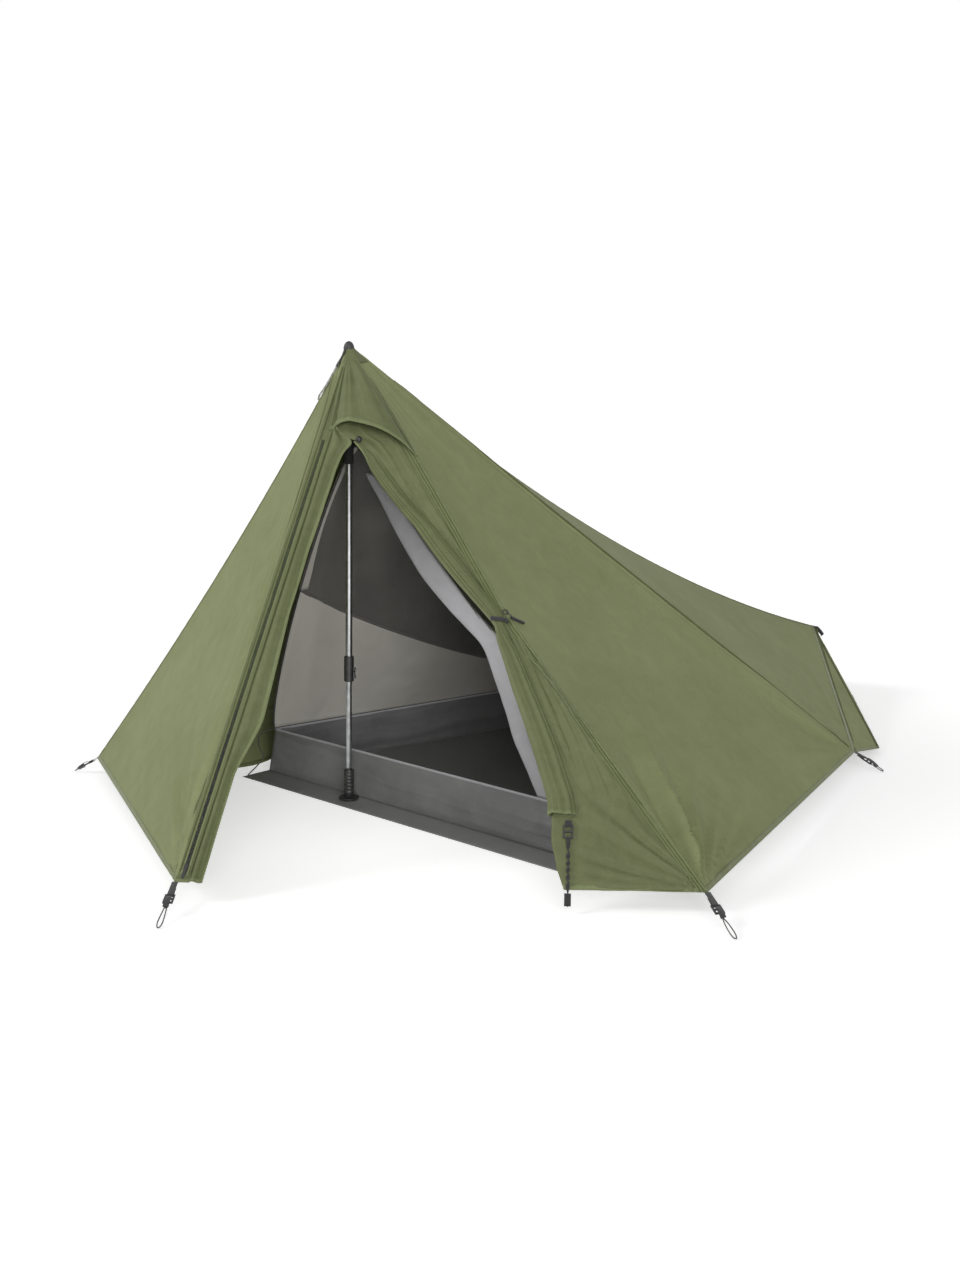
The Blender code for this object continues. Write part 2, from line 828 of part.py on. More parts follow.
def tape_place(height, lift, inset=tape_inset):
    """A point over the zip tape's middle line at a height on the zip fold."""
    return zip_fold(share_at(height, door_stake)) + fold_across * inset + door_normal * lift


def door_zip():
    """Zip tape on the flap, its slider and the pull."""
    low = tape_place(tape_low_height, fit_gap + tape_thickness / 2)
    high = tape_place(tape_top_height, fit_gap + tape_thickness / 2)
    placed = frame_matrix((low + high) / 2, fold_along, fold_across, door_normal)
    box("door_zip_tape", ((high - low).length, tape_width, tape_thickness), placed, black_webbing)
    lift = fit_gap + tape_thickness + fit_gap + slider_thickness / 2
    start = tape_place(tape_low_height, lift) + fold_along * (slider_start + slider_length / 2)
    slider = box("door_zip_slider", (slider_length, slider_width, slider_thickness),
                 frame_matrix(start, fold_along, fold_across, door_normal), black_plastic)
    bevel = slider.modifiers.new("soft_edges", 'BEVEL')
    bevel.width = slider_thickness / 5
    bevel.segments = 1
    pull_lift = slider_thickness / 2 + fit_gap + pull_thickness / 2
    pull_centre = start + door_normal * pull_lift - fold_along * (pull_length / 2)
    pull = box("door_zip_pull", (pull_length, pull_width, pull_thickness),
               frame_matrix(pull_centre, fold_along, fold_across, door_normal), steel)
    combine(pull, bar("pull_knuckle", pull_knuckle_radius, pull_width - pull_thickness,
                      start + door_normal * pull_lift, fold_across), 'UNION')
    eye = pivot("pull_pivot", start + door_normal * pull_lift)
    hang_on(eye, pull)
    hang_on(slider, eye)


tie_height_share = 0.470
tie_step_share = 0.030
toggle_start_share = 0.12
tie_rise_share = 0.30


def tie_back():
    """The band that holds the gathered door to its seam, and its toggle."""
    share = tie_height_share
    seam = seam_place(share)
    edge = door_place(share, from_table(gather_edge_shares, share))
    across = (edge - seam).normalized()
    lower_share = share - tie_step_share
    run = (door_place(lower_share, from_table(gather_edge_shares, lower_share)) - edge).normalized()
    rise = strap_thickness / 2 + 2 * fit_gap
    front = door_normal * (gather_depth(share) + rise)
    back = front + door_normal * cloth_thickness
    turn = across * (rise + cloth_thickness + tie_width / 2)
    risen = between(seam, edge, tie_rise_share)
    path = [seam + door_normal * rise + across * rise, risen + front, edge + front, edge + front + turn,
            edge - back + turn, edge - back, risen - back,
            seam - door_normal * (rise + cloth_thickness) + turn]
    ribbon("tie_back_strap", path, run, tie_width, strap_thickness, black_webbing)
    place = share_at(apex_height * share, right_wing)
    down = (right_seam(place + tie_step_share) - right_seam(place)).normalized()
    beside = right_crease(share_at(seam.z, right_side))
    sideways = (beside - seam).normalized()
    outward = down.cross(sideways).normalized()
    if outward.z < 0:
        outward = -outward
    toggle_axis = (sideways * math.cos(toggle_slope) + down * math.sin(toggle_slope)).normalized()
    head = seam + outward * (toggle_radius + 2 * fit_gap)
    head = head + toggle_axis * (toggle_length * toggle_start_share)
    hole = head + toggle_axis * (toggle_radius * 2)
    toggle = bar("tie_back_toggle", toggle_radius, toggle_length, head + toggle_axis * (toggle_length / 2),
                 toggle_axis, black_plastic, 16)
    combine(toggle, bar("toggle_hole", toggle_hole_radius, toggle_radius * 4, hole, outward, None, 12))
    hang_on(pivot("toggle_pivot", hole), toggle)


# Groundsheet corners on the plan, at the foot of the walls.
tub_front_left = Vector((-tub_front_half, tub_lip, 0))
tub_front_right = Vector((tub_front_half, tub_lip, 0))
foot_left_corner = Vector((-tub_foot_left, tub_length, 0))
foot_right_corner = Vector((tub_foot_right, tub_length, 0))


def groundsheet():
    """The floor with its front apron, and the four walls of the tub."""
    apron = [Vector((-tub_front_half, -apron_hem, 0)), Vector((tub_front_half, -apron_hem, 0))]
    flat_sheet("tub_floor", apron + [foot_right_corner, foot_left_corner], floor_thickness, floor_cloth)
    corners = (("tub_front_wall", tub_front_left, tub_front_right),
               ("tub_right_wall", tub_front_right, foot_right_corner),
               ("tub_foot_wall", foot_right_corner, foot_left_corner),
               ("tub_left_wall", foot_left_corner, tub_front_left))
    base = floor_thickness + fit_gap
    for name, start, end in corners:
        grids = []
        for inset in (wall_inset, wall_inset + cloth_thickness):
            grid = []
            for height in (base, tub_wall_height):
                lean = tub_wall_lean * height / tub_wall_height
                line = [wall_point(start, inset + lean, height), wall_point(end, inset + lean, height)]
                grid.append(pulled_ends(line))
            grids.append(grid)
        slab(name, grids[0], grids[1], tub_cloth)


def pulled_ends(line):
    run = (line[1] - line[0]).normalized() * (seam_gap / 2)
    return [line[0] + run, line[1] - run]


def wall_point(corner, inset, height):
    """A point above a tub corner, moved in along both walls by the same inset."""
    ring = (tub_front_left, tub_front_right, foot_right_corner, foot_left_corner)
    sides = [(start, ring[(index + 1) % len(ring)]) for index, start in enumerate(ring)]
    lines = [(start, end) for start, end in sides if corner in (start, end)]
    normals = []
    for start, end in lines:
        along = (end - start).normalized()
        normals.append(Vector((-along.y, along.x, 0)))
    first, second = normals
    move = (first + second) * (inset / (1 + first.dot(second)))
    return Vector((corner.x, corner.y, 0)) + move + UP * height


inner_door_edge_shares = ((0.925, 0.60), (0.854, 0.70), (0.749, 0.73), (0.652, 0.77), (0.563, 0.85),
                          (0.500, 0.91), (0.400, 0.86), (0.264, 0.805), (0.128, 0.786))
binding_width_shares = ((0.925, 0.5), (0.80, 0.9), (0.65, 1.0), (0.55, 0.6), (0.50, 0.35), (0.35, 0.6),
                        (0.128, 0.7))
foot_wall_share = 0.9
tape_front_share = 0.50
tape_foot_share = 0.20
tape_bend_share = 0.55


def tape_share(share):
    """How far up a side wall the tape between cloth and mesh runs."""
    return tape_front_share + (tape_foot_share - tape_front_share) * min(share / tape_bend_share, 1)


def inner_tent():
    """The inner tent's cloth: solid lower walls, mesh above, and the mesh door tied back."""
    peak = Vector((-pole_side, inner_peak_back, inner_peak_height))
    foot_middle = (tub_foot_right - tub_foot_left) / 2
    foot_top = Vector((foot_middle, tub_length - inner_foot_lean, inner_foot_height))
    height = tub_wall_height + fit_gap + cloth_thickness / 2
    inset = wall_inset + tub_wall_lean
    front_left = wall_point(tub_front_left, inset, height)
    front_right = wall_point(tub_front_right, inset, height)
    foot_right = wall_point(foot_right_corner, inset, height)
    foot_left = wall_point(foot_left_corner, inset, height)
    steps = 8

    def wall(name_low, name_high, front, foot, low_finish):
        """A side wall, split along its tape into solid cloth and mesh."""
        low_rows = []
        high_rows = []
        for step in range(steps + 1):
            share = step / steps
            base = between(front, foot, share)
            top = between(peak, foot_top, share)
            tape = between(base, top, tape_share(share))
            low_rows.append([between(base, tape, part / 2) for part in range(3)])
            high_rows.append([between(tape, top, part / 3) for part in range(4)])
        if name_high:
            cloth(name_low, low_rows, low_finish)
            cloth(name_high, high_rows, mesh_cloth)
        else:
            cloth(name_low, [low + high[1:] for low, high in zip(low_rows, high_rows)], low_finish)

    wall("inner_left_wall", "inner_left_mesh", front_left, foot_left, inner_cloth)
    wall("inner_right_wall", None, front_right, foot_right, inner_cloth)
    rows = [[between(between(foot_right, foot_left, step / 4), foot_top, part * foot_wall_share / 3)
             for part in range(4)] for step in range(5)]
    cloth("inner_foot_wall", rows, inner_cloth)

    def front_place(height_value, across):
        """A point on the inner front plane between its left and right hips."""
        share = (peak.z - height_value) / (peak.z - front_left.z)
        return between(between(peak, front_left, share), between(peak, front_right, share), across)

    mesh_rows = []
    edge_rows = []
    top = peak.z * inner_door_edge_shares[0][0]
    low = front_left.z + 2 * cloth_thickness
    count = 12
    for step in range(count + 1):
        level = top + (low - top) * step / count
        across = from_table(inner_door_edge_shares, level / peak.z)
        edge = front_place(level, across)
        hip = front_place(level, 1)
        width = from_table(binding_width_shares, level / peak.z) * binding_width
        run = (hip - edge).normalized()
        turn = edge + run * width
        edge_rows.append([edge, between(edge, turn, 0.5), turn])
        mesh_rows.append([turn, between(turn, hip, 0.5), hip])
    cloth("inner_door_binding", edge_rows, binding_cloth)
    cloth("inner_mesh_door", mesh_rows, mesh_cloth)


def corner_frame(corner, toward, reach):
    """The sloping line of a stake-out: where it starts, and its along, across and normal axes."""
    end = Vector((corner.x, corner.y, 0)) + toward * reach + UP * loop_end_height
    along = (end - corner).normalized()
    across = along.cross(UP).normalized()
    return along, across, across.cross(along).normalized(), end


lock_place_share = 0.30
fold_back_share = 0.60
loop_end_share = 0.80
loop_waist_share = 0.70
loop_tip_share = 0.50


def ladder_lock(name, axis_centre, along, across, normal):
    """A ladder lock whose round first bar, which it turns about, is centred on the given point."""
    centre = axis_centre + along * (lock_length / 2 - lock_bar / 2)
    lock = box(name, (lock_length, lock_width, lock_thickness),
               frame_matrix(centre, along, across, normal), black_plastic)
    window = (lock_length - 3 * lock_bar) / 2
    spans = ((-lock_bar, lock_bar / 2 + window), (lock_bar * 1.5 + window, lock_bar * 1.5 + window * 2))
    for index, (start, end) in enumerate(spans):
        combine(lock, box(name + "_window_" + str(index),
                          (end - start, lock_width - 2 * lock_bar, lock_thickness * 3),
                          frame_matrix(axis_centre + along * ((start + end) / 2), along, across, normal)))
    combine(lock, bar(name + "_bar", lock_bar_radius, lock_width - lock_bar, axis_centre, across), 'UNION')
    return lock


def stake_out(name, corner, angle, reach, clear=0):
    """Webbing strap, ladder lock and stake loop at one corner of the flysheet."""
    toward = Vector((math.cos(angle), math.sin(angle), 0))
    along, across, normal, end = corner_frame(corner, toward, reach)
    length = (end - corner).length
    hinge = corner + along * (length * lock_place_share)
    lift = normal * (lock_thickness / 2 + fit_gap + strap_thickness / 2)
    nose = along * (lock_bar / 2 + fit_gap + strap_thickness / 2)
    path = [corner + along * clear + normal * (strap_thickness / 2), hinge - nose + lift,
            hinge + nose + lift, hinge + nose - lift, hinge - nose - lift,
            between(hinge, corner, fold_back_share) - lift * fold_back_share]
    ribbon(name + "_strap", path, across, strap_width, strap_thickness, black_webbing)
    lock = ladder_lock(name + "_ladder_lock", hinge, along, across, normal)
    far_bar = hinge + along * (lock_length - lock_bar)
    high = normal * (lock_thickness / 2 + loop_cord_radius + fit_gap)
    side = across * loop_spread
    back = along * (lock_bar / 2 + loop_cord_radius + fit_gap)
    tip = end - along * loop_cord_radius
    near_tip = between(far_bar, tip, loop_end_share)
    waist = (far_bar + near_tip) / 2
    half = [far_bar - back, far_bar - back + high, far_bar + back + high, waist + side * loop_waist_share,
            near_tip + side, tip + side * loop_tip_share]
    rest = [tip - side * loop_tip_share, near_tip - side, waist - side * loop_waist_share,
            far_bar + back - high, far_bar - back - high]
    loop = cord(name + "_stake_loop", half + rest, loop_cord_radius, reflective_cord, True, 1)
    hang_on(pivot(name + "_pivot", hinge), lock, loop)


def stake_outs():
    """The five stake-outs of the flysheet."""
    stake_out("left_wing", left_wing, left_wing_angle, left_wing_reach)
    stake_out("door", door_stake, door_angle, door_reach)
    stake_out("right_wing", right_wing, right_wing_angle, right_wing_reach)
    stake_out("right_side", right_side, side_angle, side_reach, side_strap_clear)
    stake_out("left_side", left_side, math.pi - side_angle, side_reach, side_strap_clear)


def foot_pole():
    """The short pole that stands under the foot peak."""
    centre = Vector((foot_peak.x, foot_peak.y - foot_pole_forward, 0))
    rod("foot_pole", foot_pole_radius, 0, foot_peak_height - foot_pole_drop, centre, pole_metal, 14)


tab_slope_share = 0.7
tab_crown_share = 0.1


def foot_peak_tab():
    """The folded webbing tab at the foot peak, where a guyline could be tied."""
    outward = Vector((1, 1, 0)).normalized()
    start = foot_peak + outward * foot_tab_start + UP * fit_gap
    end = start + (outward - UP) * (foot_tab_length * tab_slope_share)
    across = outward.cross(UP)
    ribbon("foot_peak_tab", [start, (start + end) / 2 + UP * (foot_tab_length * tab_crown_share), end],
           across, foot_tab_width, 2 * strap_thickness, black_webbing)


corner_top_shares = (0.140, 0.803)
corner_low_shares = (0.012, 0.728)
corner_fold_share = 0.30


def door_corner():
    """Sewn tab, ladder lock and webbing tail at the loose corner of the door."""
    lift = door_corner_lift
    top = door_place(*corner_top_shares, lift)
    low = door_place(*corner_low_shares, lift)
    along = (low - top).normalized()
    across = along.cross(door_normal).normalized()
    normal = across.cross(along).normalized()
    hinge = top + along * corner_tab_length
    rise = normal * (lock_thickness / 2 + fit_gap + strap_thickness / 2)
    nose = along * (lock_bar / 2 + fit_gap + strap_thickness / 2)
    sewn = top - door_normal * (lift - strap_thickness / 2 - 2 * fit_gap)
    path = [sewn, hinge - nose + rise, hinge + nose + rise, hinge + nose - rise, hinge - nose - rise,
            between(hinge, top, corner_fold_share) - rise * fold_back_share]
    ribbon("door_corner_strap", path, across, strap_width, strap_thickness, black_webbing)
    lock = ladder_lock("door_corner_lock", hinge, along, across, normal)
    far_bar = hinge + along * (lock_length - lock_bar)
    path = [far_bar - nose * 2 - rise, far_bar + nose - rise, (far_bar + low) / 2 - rise * fold_back_share,
            low]
    tail = ribbon("door_corner_tail", path, across, tail_width, tail_thickness, black_webbing)
    hang_on(pivot("door_corner_pivot", hinge), lock, tail)


peak_ball_shares = (0.800, 0.440)


def door_peak_ball():
    """The ball at the peak of the door's opening."""
    bm = bmesh.new()
    bmesh.ops.create_uvsphere(bm, u_segments=16, v_segments=10, radius=peak_ball_radius)
    ball = from_bmesh("door_peak_ball", bm, black_plastic)
    ball.location = door_place(*peak_ball_shares, peak_ball_radius + fit_gap)
    ball.data.shade_smooth()


# The elastic's bends, each as shares of its reach: outward, forward and down from its head.
elastic_bend_shares = ((0.5, 0.35, 0.1), (1.0, 0.8, 0.5), (0.8, 1.0, 1.3), (0.35, 1.0, 2.2))
elastic_end_share = 0.9


def tub_elastic():
    """Elastic that draws the tub's front corner out to the flysheet and comes back to the apron."""
    reach = tub_elastic_out
    beside = elastic_radius + fit_gap
    corner = wall_point(tub_front_left, wall_inset + tub_wall_lean, tub_wall_height)
    head = corner + Vector((-beside, beside, -beside))
    places = [head]
    for outward, forward, down in elastic_bend_shares:
        places.append(head - Vector((outward, forward, down)) * reach)
    places.append(Vector((-tub_front_half + 2 * elastic_radius, tub_lip * (1 - elastic_end_share),
                          floor_thickness + beside)))
    cord("tub_corner_elastic", smooth_path(places, 4), elastic_radius, elastic_cord, False, 1)


# The guyline's route, chosen by hand: down the front left face, over the left edge, and down the
# hidden left side to the ground, where its end lies loose.
guy_route = ((-0.3287, 0.0299, 1.2854), (-0.3361, 0.0271, 1.2728), (-0.3563, 0.0212, 1.2403),
             (-0.3743, 0.0163, 1.2149), (-0.3914, 0.0133, 1.1921), (-0.4109, 0.0239, 1.1503),
             (-0.4595, 0.0453, 1.0475), (-0.5569, 0.0741, 0.8502), (-0.6543, 0.0969, 0.6589),
             (-0.7517, 0.1197, 0.4707), (-0.8491, 0.1425, 0.2855), (-0.9367, 0.1630, 0.1213),
             (-0.9640, 0.1710, 0.0690), (-0.9790, 0.1790, 0.0380), (-0.9880, 0.1950, 0.0090),
             (-0.9900, 0.2250, 0.0024), (-0.9760, 0.3000, 0.0022), (-0.9950, 0.4000, 0.0022),
             (-0.9720, 0.5000, 0.0022), (-0.9850, 0.6100, 0.0022))
guy_across_share = 0.15


def apex_guyline():
    """The folded strap below the cap, and the guyline that is thrown over to the far side."""
    across = (door_stake - left_wing).normalized()
    down = (between(left_wing, door_stake, guy_across_share) - apex)
    face = across.cross(down).normalized()
    if face.z < 0:
        face = -face
    path = []
    for distance in (guy_strap_start, guy_strap_start + guy_strap_length / 2,
                     guy_strap_start + guy_strap_length):
        share = distance / down.length
        place = between(left_seam(share), zip_fold(share), guy_across_share)
        path.append(place + face * (strap_thickness + 2 * fit_gap))
    ribbon("apex_guy_strap", path, down.cross(face), guy_strap_width, 2 * strap_thickness, black_webbing)
    cord("apex_guyline", smooth_path([Vector(place) for place in guy_route], 4), guy_radius,
         reflective_cord, False, 1)


fly_panels()
foot_panels()
zip_flap()
door_cloths()
vent_hood()
apex_fittings()
upper_pole()
lock_clamp()
lower_pole()
door_zip()
tie_back()
groundsheet()
inner_tent()
stake_outs()
foot_pole()
foot_peak_tab()
door_corner()
door_peak_ball()
tub_elastic()
apex_guyline()
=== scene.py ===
# %% [markdown]
# # A single-pole tent, dressed for its portrait
#
# The tent is a flysheet on one trekking pole, with an inner tent and a tub groundsheet under it. The
# measured solids come in as a fixed frame, in metres, and each cell below hangs finer cloth, seams,
# cords and finishes on them. Cloth is made from grids of points whose curves repeat the frame's own.

# %% Load the frame
import math

import bpy
import numpy as np
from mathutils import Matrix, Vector


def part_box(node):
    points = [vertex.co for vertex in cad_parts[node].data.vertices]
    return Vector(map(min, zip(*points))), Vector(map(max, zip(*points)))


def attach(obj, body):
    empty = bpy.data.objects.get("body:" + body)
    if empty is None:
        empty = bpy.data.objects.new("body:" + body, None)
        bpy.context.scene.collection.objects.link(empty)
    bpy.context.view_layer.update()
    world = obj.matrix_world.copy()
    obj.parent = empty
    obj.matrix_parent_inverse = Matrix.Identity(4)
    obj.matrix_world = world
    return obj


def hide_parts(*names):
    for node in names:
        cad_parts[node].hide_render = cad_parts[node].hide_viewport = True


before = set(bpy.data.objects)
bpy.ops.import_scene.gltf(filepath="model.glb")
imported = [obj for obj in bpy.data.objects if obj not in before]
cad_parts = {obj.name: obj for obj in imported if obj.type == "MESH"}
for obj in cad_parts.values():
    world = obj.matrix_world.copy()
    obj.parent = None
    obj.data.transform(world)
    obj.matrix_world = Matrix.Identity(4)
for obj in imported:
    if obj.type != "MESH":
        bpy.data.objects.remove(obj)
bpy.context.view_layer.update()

# %% [markdown]
# ## Camera
#
# The photograph was taken at eye height with the camera level, and the picture was framed lower than
# the horizon. A level camera with a shifted sensor keeps upright lines upright. Tilting the camera
# would do the framing too, but it would make the pole lean.

# %% Camera
def into_scene(name, data):
    made = bpy.data.objects.new(name, data)
    bpy.context.scene.collection.objects.link(made)
    return made


picture_height, focal_pixels, horizon_row = 1280, 1700, 310
sensor_mm, heading = 36, 43.5
camera_data = bpy.data.cameras.new("camera")
camera_data.sensor_width = sensor_mm
camera_data.lens = sensor_mm * focal_pixels / picture_height
camera_data.shift_y = (horizon_row - picture_height / 2) / picture_height
camera_data.clip_end = 200
camera = into_scene("camera", camera_data)
camera.location = (3.454, -3.341, 1.4538)
camera.rotation_euler = (math.radians(90), 0, math.radians(heading))
bpy.context.scene.camera = camera
print("lens", round(camera_data.lens, 2), "shift", round(camera_data.shift_y, 4))

# %% [markdown]
# ## Building blocks
#
# Every piece here is a mesh made from arrays of points. Four shapes do nearly all the work: a grid for
# cloth, a tube for cords and seams, a band for webbing and hems, and a lathe for turned parts. Each
# gives its faces a UV map in metres, so that a weave lies along the cloth and keeps its real size.

# %% Meshes from arrays
def make_mesh(name, parts, material):
    """Joins (points, faces, uv) parts in one mesh object."""
    mesh = bpy.data.meshes.new(name)
    faces, start = [], 0
    for points, part_faces, _ in parts:
        faces += [tuple(corner + start for corner in face) for face in part_faces]
        start += len(points)
    mesh.from_pydata(np.concatenate([part[0] for part in parts]).tolist(), [], faces)
    uv = np.concatenate([part[2] for part in parts])
    corners = np.zeros(len(mesh.loops), np.int32)
    mesh.loops.foreach_get("vertex_index", corners)
    mesh.uv_layers.new(name="UVMap").data.foreach_set("uv", uv[corners].astype(np.float32).ravel())
    mesh.polygons.foreach_set("use_smooth", [True] * len(faces))
    mesh.materials.append(material)
    return into_scene(name, mesh)


def piece(name, parts, material, node=None, body="tent"):
    """A mesh that rides a body of the frame, in place of the solid of that node if one is named."""
    made = make_mesh(name, parts, material)
    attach(made, body)
    if node:
        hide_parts(node)
    return made


def thicken(made, thickness):
    """Gives a sheet its thickness, on its inner side."""
    solid = made.modifiers.new("cloth_thickness", 'SOLIDIFY')
    solid.thickness = thickness
    solid.offset = -1


def unit(vectors):
    never_zero = 1e-12
    return vectors / np.maximum(np.linalg.norm(vectors, axis=-1, keepdims=True), never_zero)


def lengths_along(line):
    return np.concatenate([[0], np.cumsum(np.linalg.norm(np.diff(line, axis=0), axis=1))])


def loft(rings, uv_round, closed=False, caps=True):
    """A tube through rings of points (rows, sides, 3), with capped ends unless it is closed on itself."""
    rings = np.asarray(rings, float)
    rows, sides = rings.shape[:2]
    faces = []
    for row in range(rows if closed else rows - 1):
        here, below = row * sides, (row + 1) % rows * sides
        for side in range(sides):
            after = (side + 1) % sides
            faces.append((here + side, here + after, below + after, below + side))
    if caps and not closed:
        faces += [tuple(range(sides))[::-1], tuple(range((rows - 1) * sides, rows * sides))]
    along = lengths_along(rings.mean(axis=1))
    uv = np.stack([np.tile(uv_round, (rows, 1)), np.repeat(along[:, None], sides, axis=1)], axis=-1)
    return rings.reshape(-1, 3), faces, uv.reshape(-1, 2)


def smooth_path(points, steps):
    """Points of a smooth curve through the given points."""
    points = np.asarray(points, float)
    before = np.concatenate([points[:1], points[:-1]])
    after = np.concatenate([points[2:], points[-1:]])
    path = []
    for p0, p1, p2, p3 in zip(before[:-1], points[:-1], points[1:], after):
        for t in np.arange(steps) / steps:
            path.append(0.5 * (2 * p1 + (p2 - p0) * t + (2 * p0 - 5 * p1 + 4 * p2 - p3) * t ** 2
                               + (3 * p1 - p0 - 3 * p2 + p3) * t ** 3))
    return np.array(path + [points[-1]])


def tube(path, radius, sides=10, closed=False):
    """A round tube along a path. Its rings turn as little as they can from one to the next."""
    path = np.asarray(path, float)
    tangent = unit(np.roll(path, -1, 0) - np.roll(path, 1, 0) if closed else np.gradient(path, axis=0))
    side = np.cross(tangent[0], [0.31, 0.17, 0.93])
    radii = np.broadcast_to(np.asarray(radius, float), len(path))
    angles = np.arange(sides) / sides * math.tau
    rings = []
    for place, along, thick in zip(path, tangent, radii):
        side = unit(side - along * (side @ along))
        other = np.cross(along, side)
        rings.append(place + thick * (np.cos(angles)[:, None] * side + np.sin(angles)[:, None] * other))
    return loft(rings, angles * float(radii.max()), closed)


def band(path, across, width, thickness, normal=None):
    """A flat strip along a path, such as webbing or a hem, with softly rounded edges."""
    path = np.asarray(path, float)
    across = unit(np.broadcast_to(np.asarray(across, float), path.shape))
    if normal is None:
        normal = unit(np.cross(across, np.gradient(path, axis=0)))
    normal = np.broadcast_to(np.asarray(normal, float), path.shape)
    width = np.broadcast_to(np.asarray(width, float), len(path))[:, None]
    section = [(-0.5, -0.3), (-0.5, 0.3), (-0.46, 0.5), (0, 0.5), (0.46, 0.5), (0.5, 0.3),
               (0.5, -0.3), (0.46, -0.5), (0, -0.5), (-0.46, -0.5)]
    rings = np.stack([path + across * width * x + normal * thickness * z for x, z in section], axis=1)
    return loft(rings[:, ::-1], np.array([x for x, z in section])[::-1] * float(width.max()))


def lathe(profile, centre, sides=48):
    """(radius, height) pairs, from the top down the outer side, turned about an upright axis."""
    angles = np.arange(sides) / sides * math.tau
    pin = 1e-5
    rings = [[(centre[0] + max(r, pin) * math.cos(a), centre[1] + max(r, pin) * math.sin(a), z)
              for a in angles[::-1]] for r, z in profile]
    return loft(rings, angles * max(r for r, z in profile))


print("shapes: grid, tube, band, lathe")

# %% [markdown]
# ## Finishes
#
# Tents are nearly all coated nylon and polyester, so the finishes differ in weave, coating and wear
# more than in kind. Each starts from one Principled shader. Colours are written as on a paint chart, in
# sRGB, and one function makes them linear. One helper adds any node, with its settings and its links,
# and the short ones after it are for the nodes that come back in nearly every finish.

# %% Node helper and colours
def linear(colour):
    channels = [int(colour[i:i + 2], 16) / 255 for i in (0, 2, 4)]
    return tuple(c / 12.92 if c <= 0.04045 else ((c + 0.055) / 1.055) ** 2.4 for c in channels) + (1,)


def add(tree, kind, settings=None, **inputs):
    """Adds a node. A value may be a number, a colour or another node's output socket."""
    node = tree.nodes.new(kind)
    for key, value in (settings or {}).items():
        setattr(node, key, value)
    for key, value in inputs.items():
        socket = node.inputs[int(key[1:])] if key[0] == "i" and key[1:].isdigit() else node.inputs[key]
        if isinstance(value, bpy.types.NodeSocket):
            tree.links.new(value, socket)
        else:
            socket.default_value = value
    return node


def finish(name, **sockets):
    """A Principled material. Its constant values sit on the shader's own sockets."""
    made = bpy.data.materials.new(name)
    made.use_nodes = True
    shader = made.node_tree.nodes["Principled BSDF"]
    for key, value in sockets.items():
        shader.inputs[key.replace("_", " ")].default_value = value
    return made, made.node_tree, shader


def coordinates(tree, kind="UV"):
    return add(tree, "ShaderNodeTexCoord").outputs[kind]


def calc(tree, operation, *values):
    inputs = {"i%d" % index: value for index, value in enumerate(values)}
    return add(tree, "ShaderNodeMath", {"operation": operation}, **inputs).outputs[0]


def clouds(tree, place, scale, **inputs):
    return add(tree, "ShaderNodeTexNoise", Vector=place, Scale=scale, **inputs).outputs["Fac"]


def waves(tree, direction, place, period):
    """Bands across a direction, one in each period in metres."""
    scale = math.tau / 20 / period
    return add(tree, "ShaderNodeTexWave", {"bands_direction": direction}, Vector=place,
               Scale=scale).outputs["Fac"]


def set_colour(tree, shader, factor, *stops):
    """The base colour, from a ramp of (place, colour) stops."""
    ramp = add(tree, "ShaderNodeValToRGB", Fac=factor)
    while len(ramp.color_ramp.elements) < len(stops):
        ramp.color_ramp.elements.new(0.5)
    for element, (place, colour) in zip(ramp.color_ramp.elements, stops):
        element.position = place
        element.color = linear(colour)
    tree.links.new(ramp.outputs["Color"], shader.inputs["Base Color"])


def set_relief(tree, shader, height, strength, distance):
    bump = add(tree, "ShaderNodeBump", Strength=strength, Distance=distance, Height=height)
    tree.links.new(bump.outputs["Normal"], shader.inputs["Normal"])


def woven(name, dark, mid, light, grid, crinkle, roughness, sheen=0.0, coat=0.0, specular=0.5):
    """Woven cloth: a ripstop grid, crinkles and slow changes of tone, on UV in metres."""
    made, tree, shader = finish(name, Roughness=roughness, Sheen_Weight=sheen, Sheen_Roughness=0.45,
                                Coat_Weight=coat, Coat_Roughness=0.5, Specular_IOR_Level=specular)
    place, thread_size = coordinates(tree), 0.0015
    slow = clouds(tree, place, 3.0, Detail=2.0, Roughness=0.4)
    fine = clouds(tree, place, 1 / thread_size, Detail=2.0)
    rumple = clouds(tree, place, crinkle, Detail=6.0, Roughness=0.62, Distortion=0.6)
    crossing = calc(tree, 'MAXIMUM', waves(tree, 'X', place, grid), waves(tree, 'Y', place, grid))
    lines = calc(tree, 'POWER', crossing, 14.0)
    tint = calc(tree, 'MULTIPLY_ADD', slow, 0.35, 0.30)
    # The crinkle noise adds to the tone as well as to the relief, so the crinkles' hollows are darker:
    # painted shade.
    for source, weight in ((fine, 0.18), (lines, 0.05), (rumple, 0.35)):
        tint = calc(tree, 'MULTIPLY_ADD', source, weight, tint)
    set_colour(tree, shader, tint, (0.45, dark), (0.73, mid), (1.0, light))
    relief = calc(tree, 'MULTIPLY_ADD', lines, 0.05, rumple)
    relief = calc(tree, 'MULTIPLY_ADD', fine, 0.03, relief)
    set_relief(tree, shader, relief, 0.55, 0.006)
    return made


print("finish helpers ready")

# %% [markdown]
# ### Cloths
#
# The fly is a coated ripstop: a thin plain weave with a thicker thread every few millimetres, and a
# coating that gives it a low sheen. The grid is drawn at 6 mm, about as on the real cloth. The inner is
# plain breathable nylon, the tub a heavier coated cloth that shines in streaks, and the mesh a knitted
# net with holes of about 1 mm. The net's holes are drawn three times too coarse, so that they show.

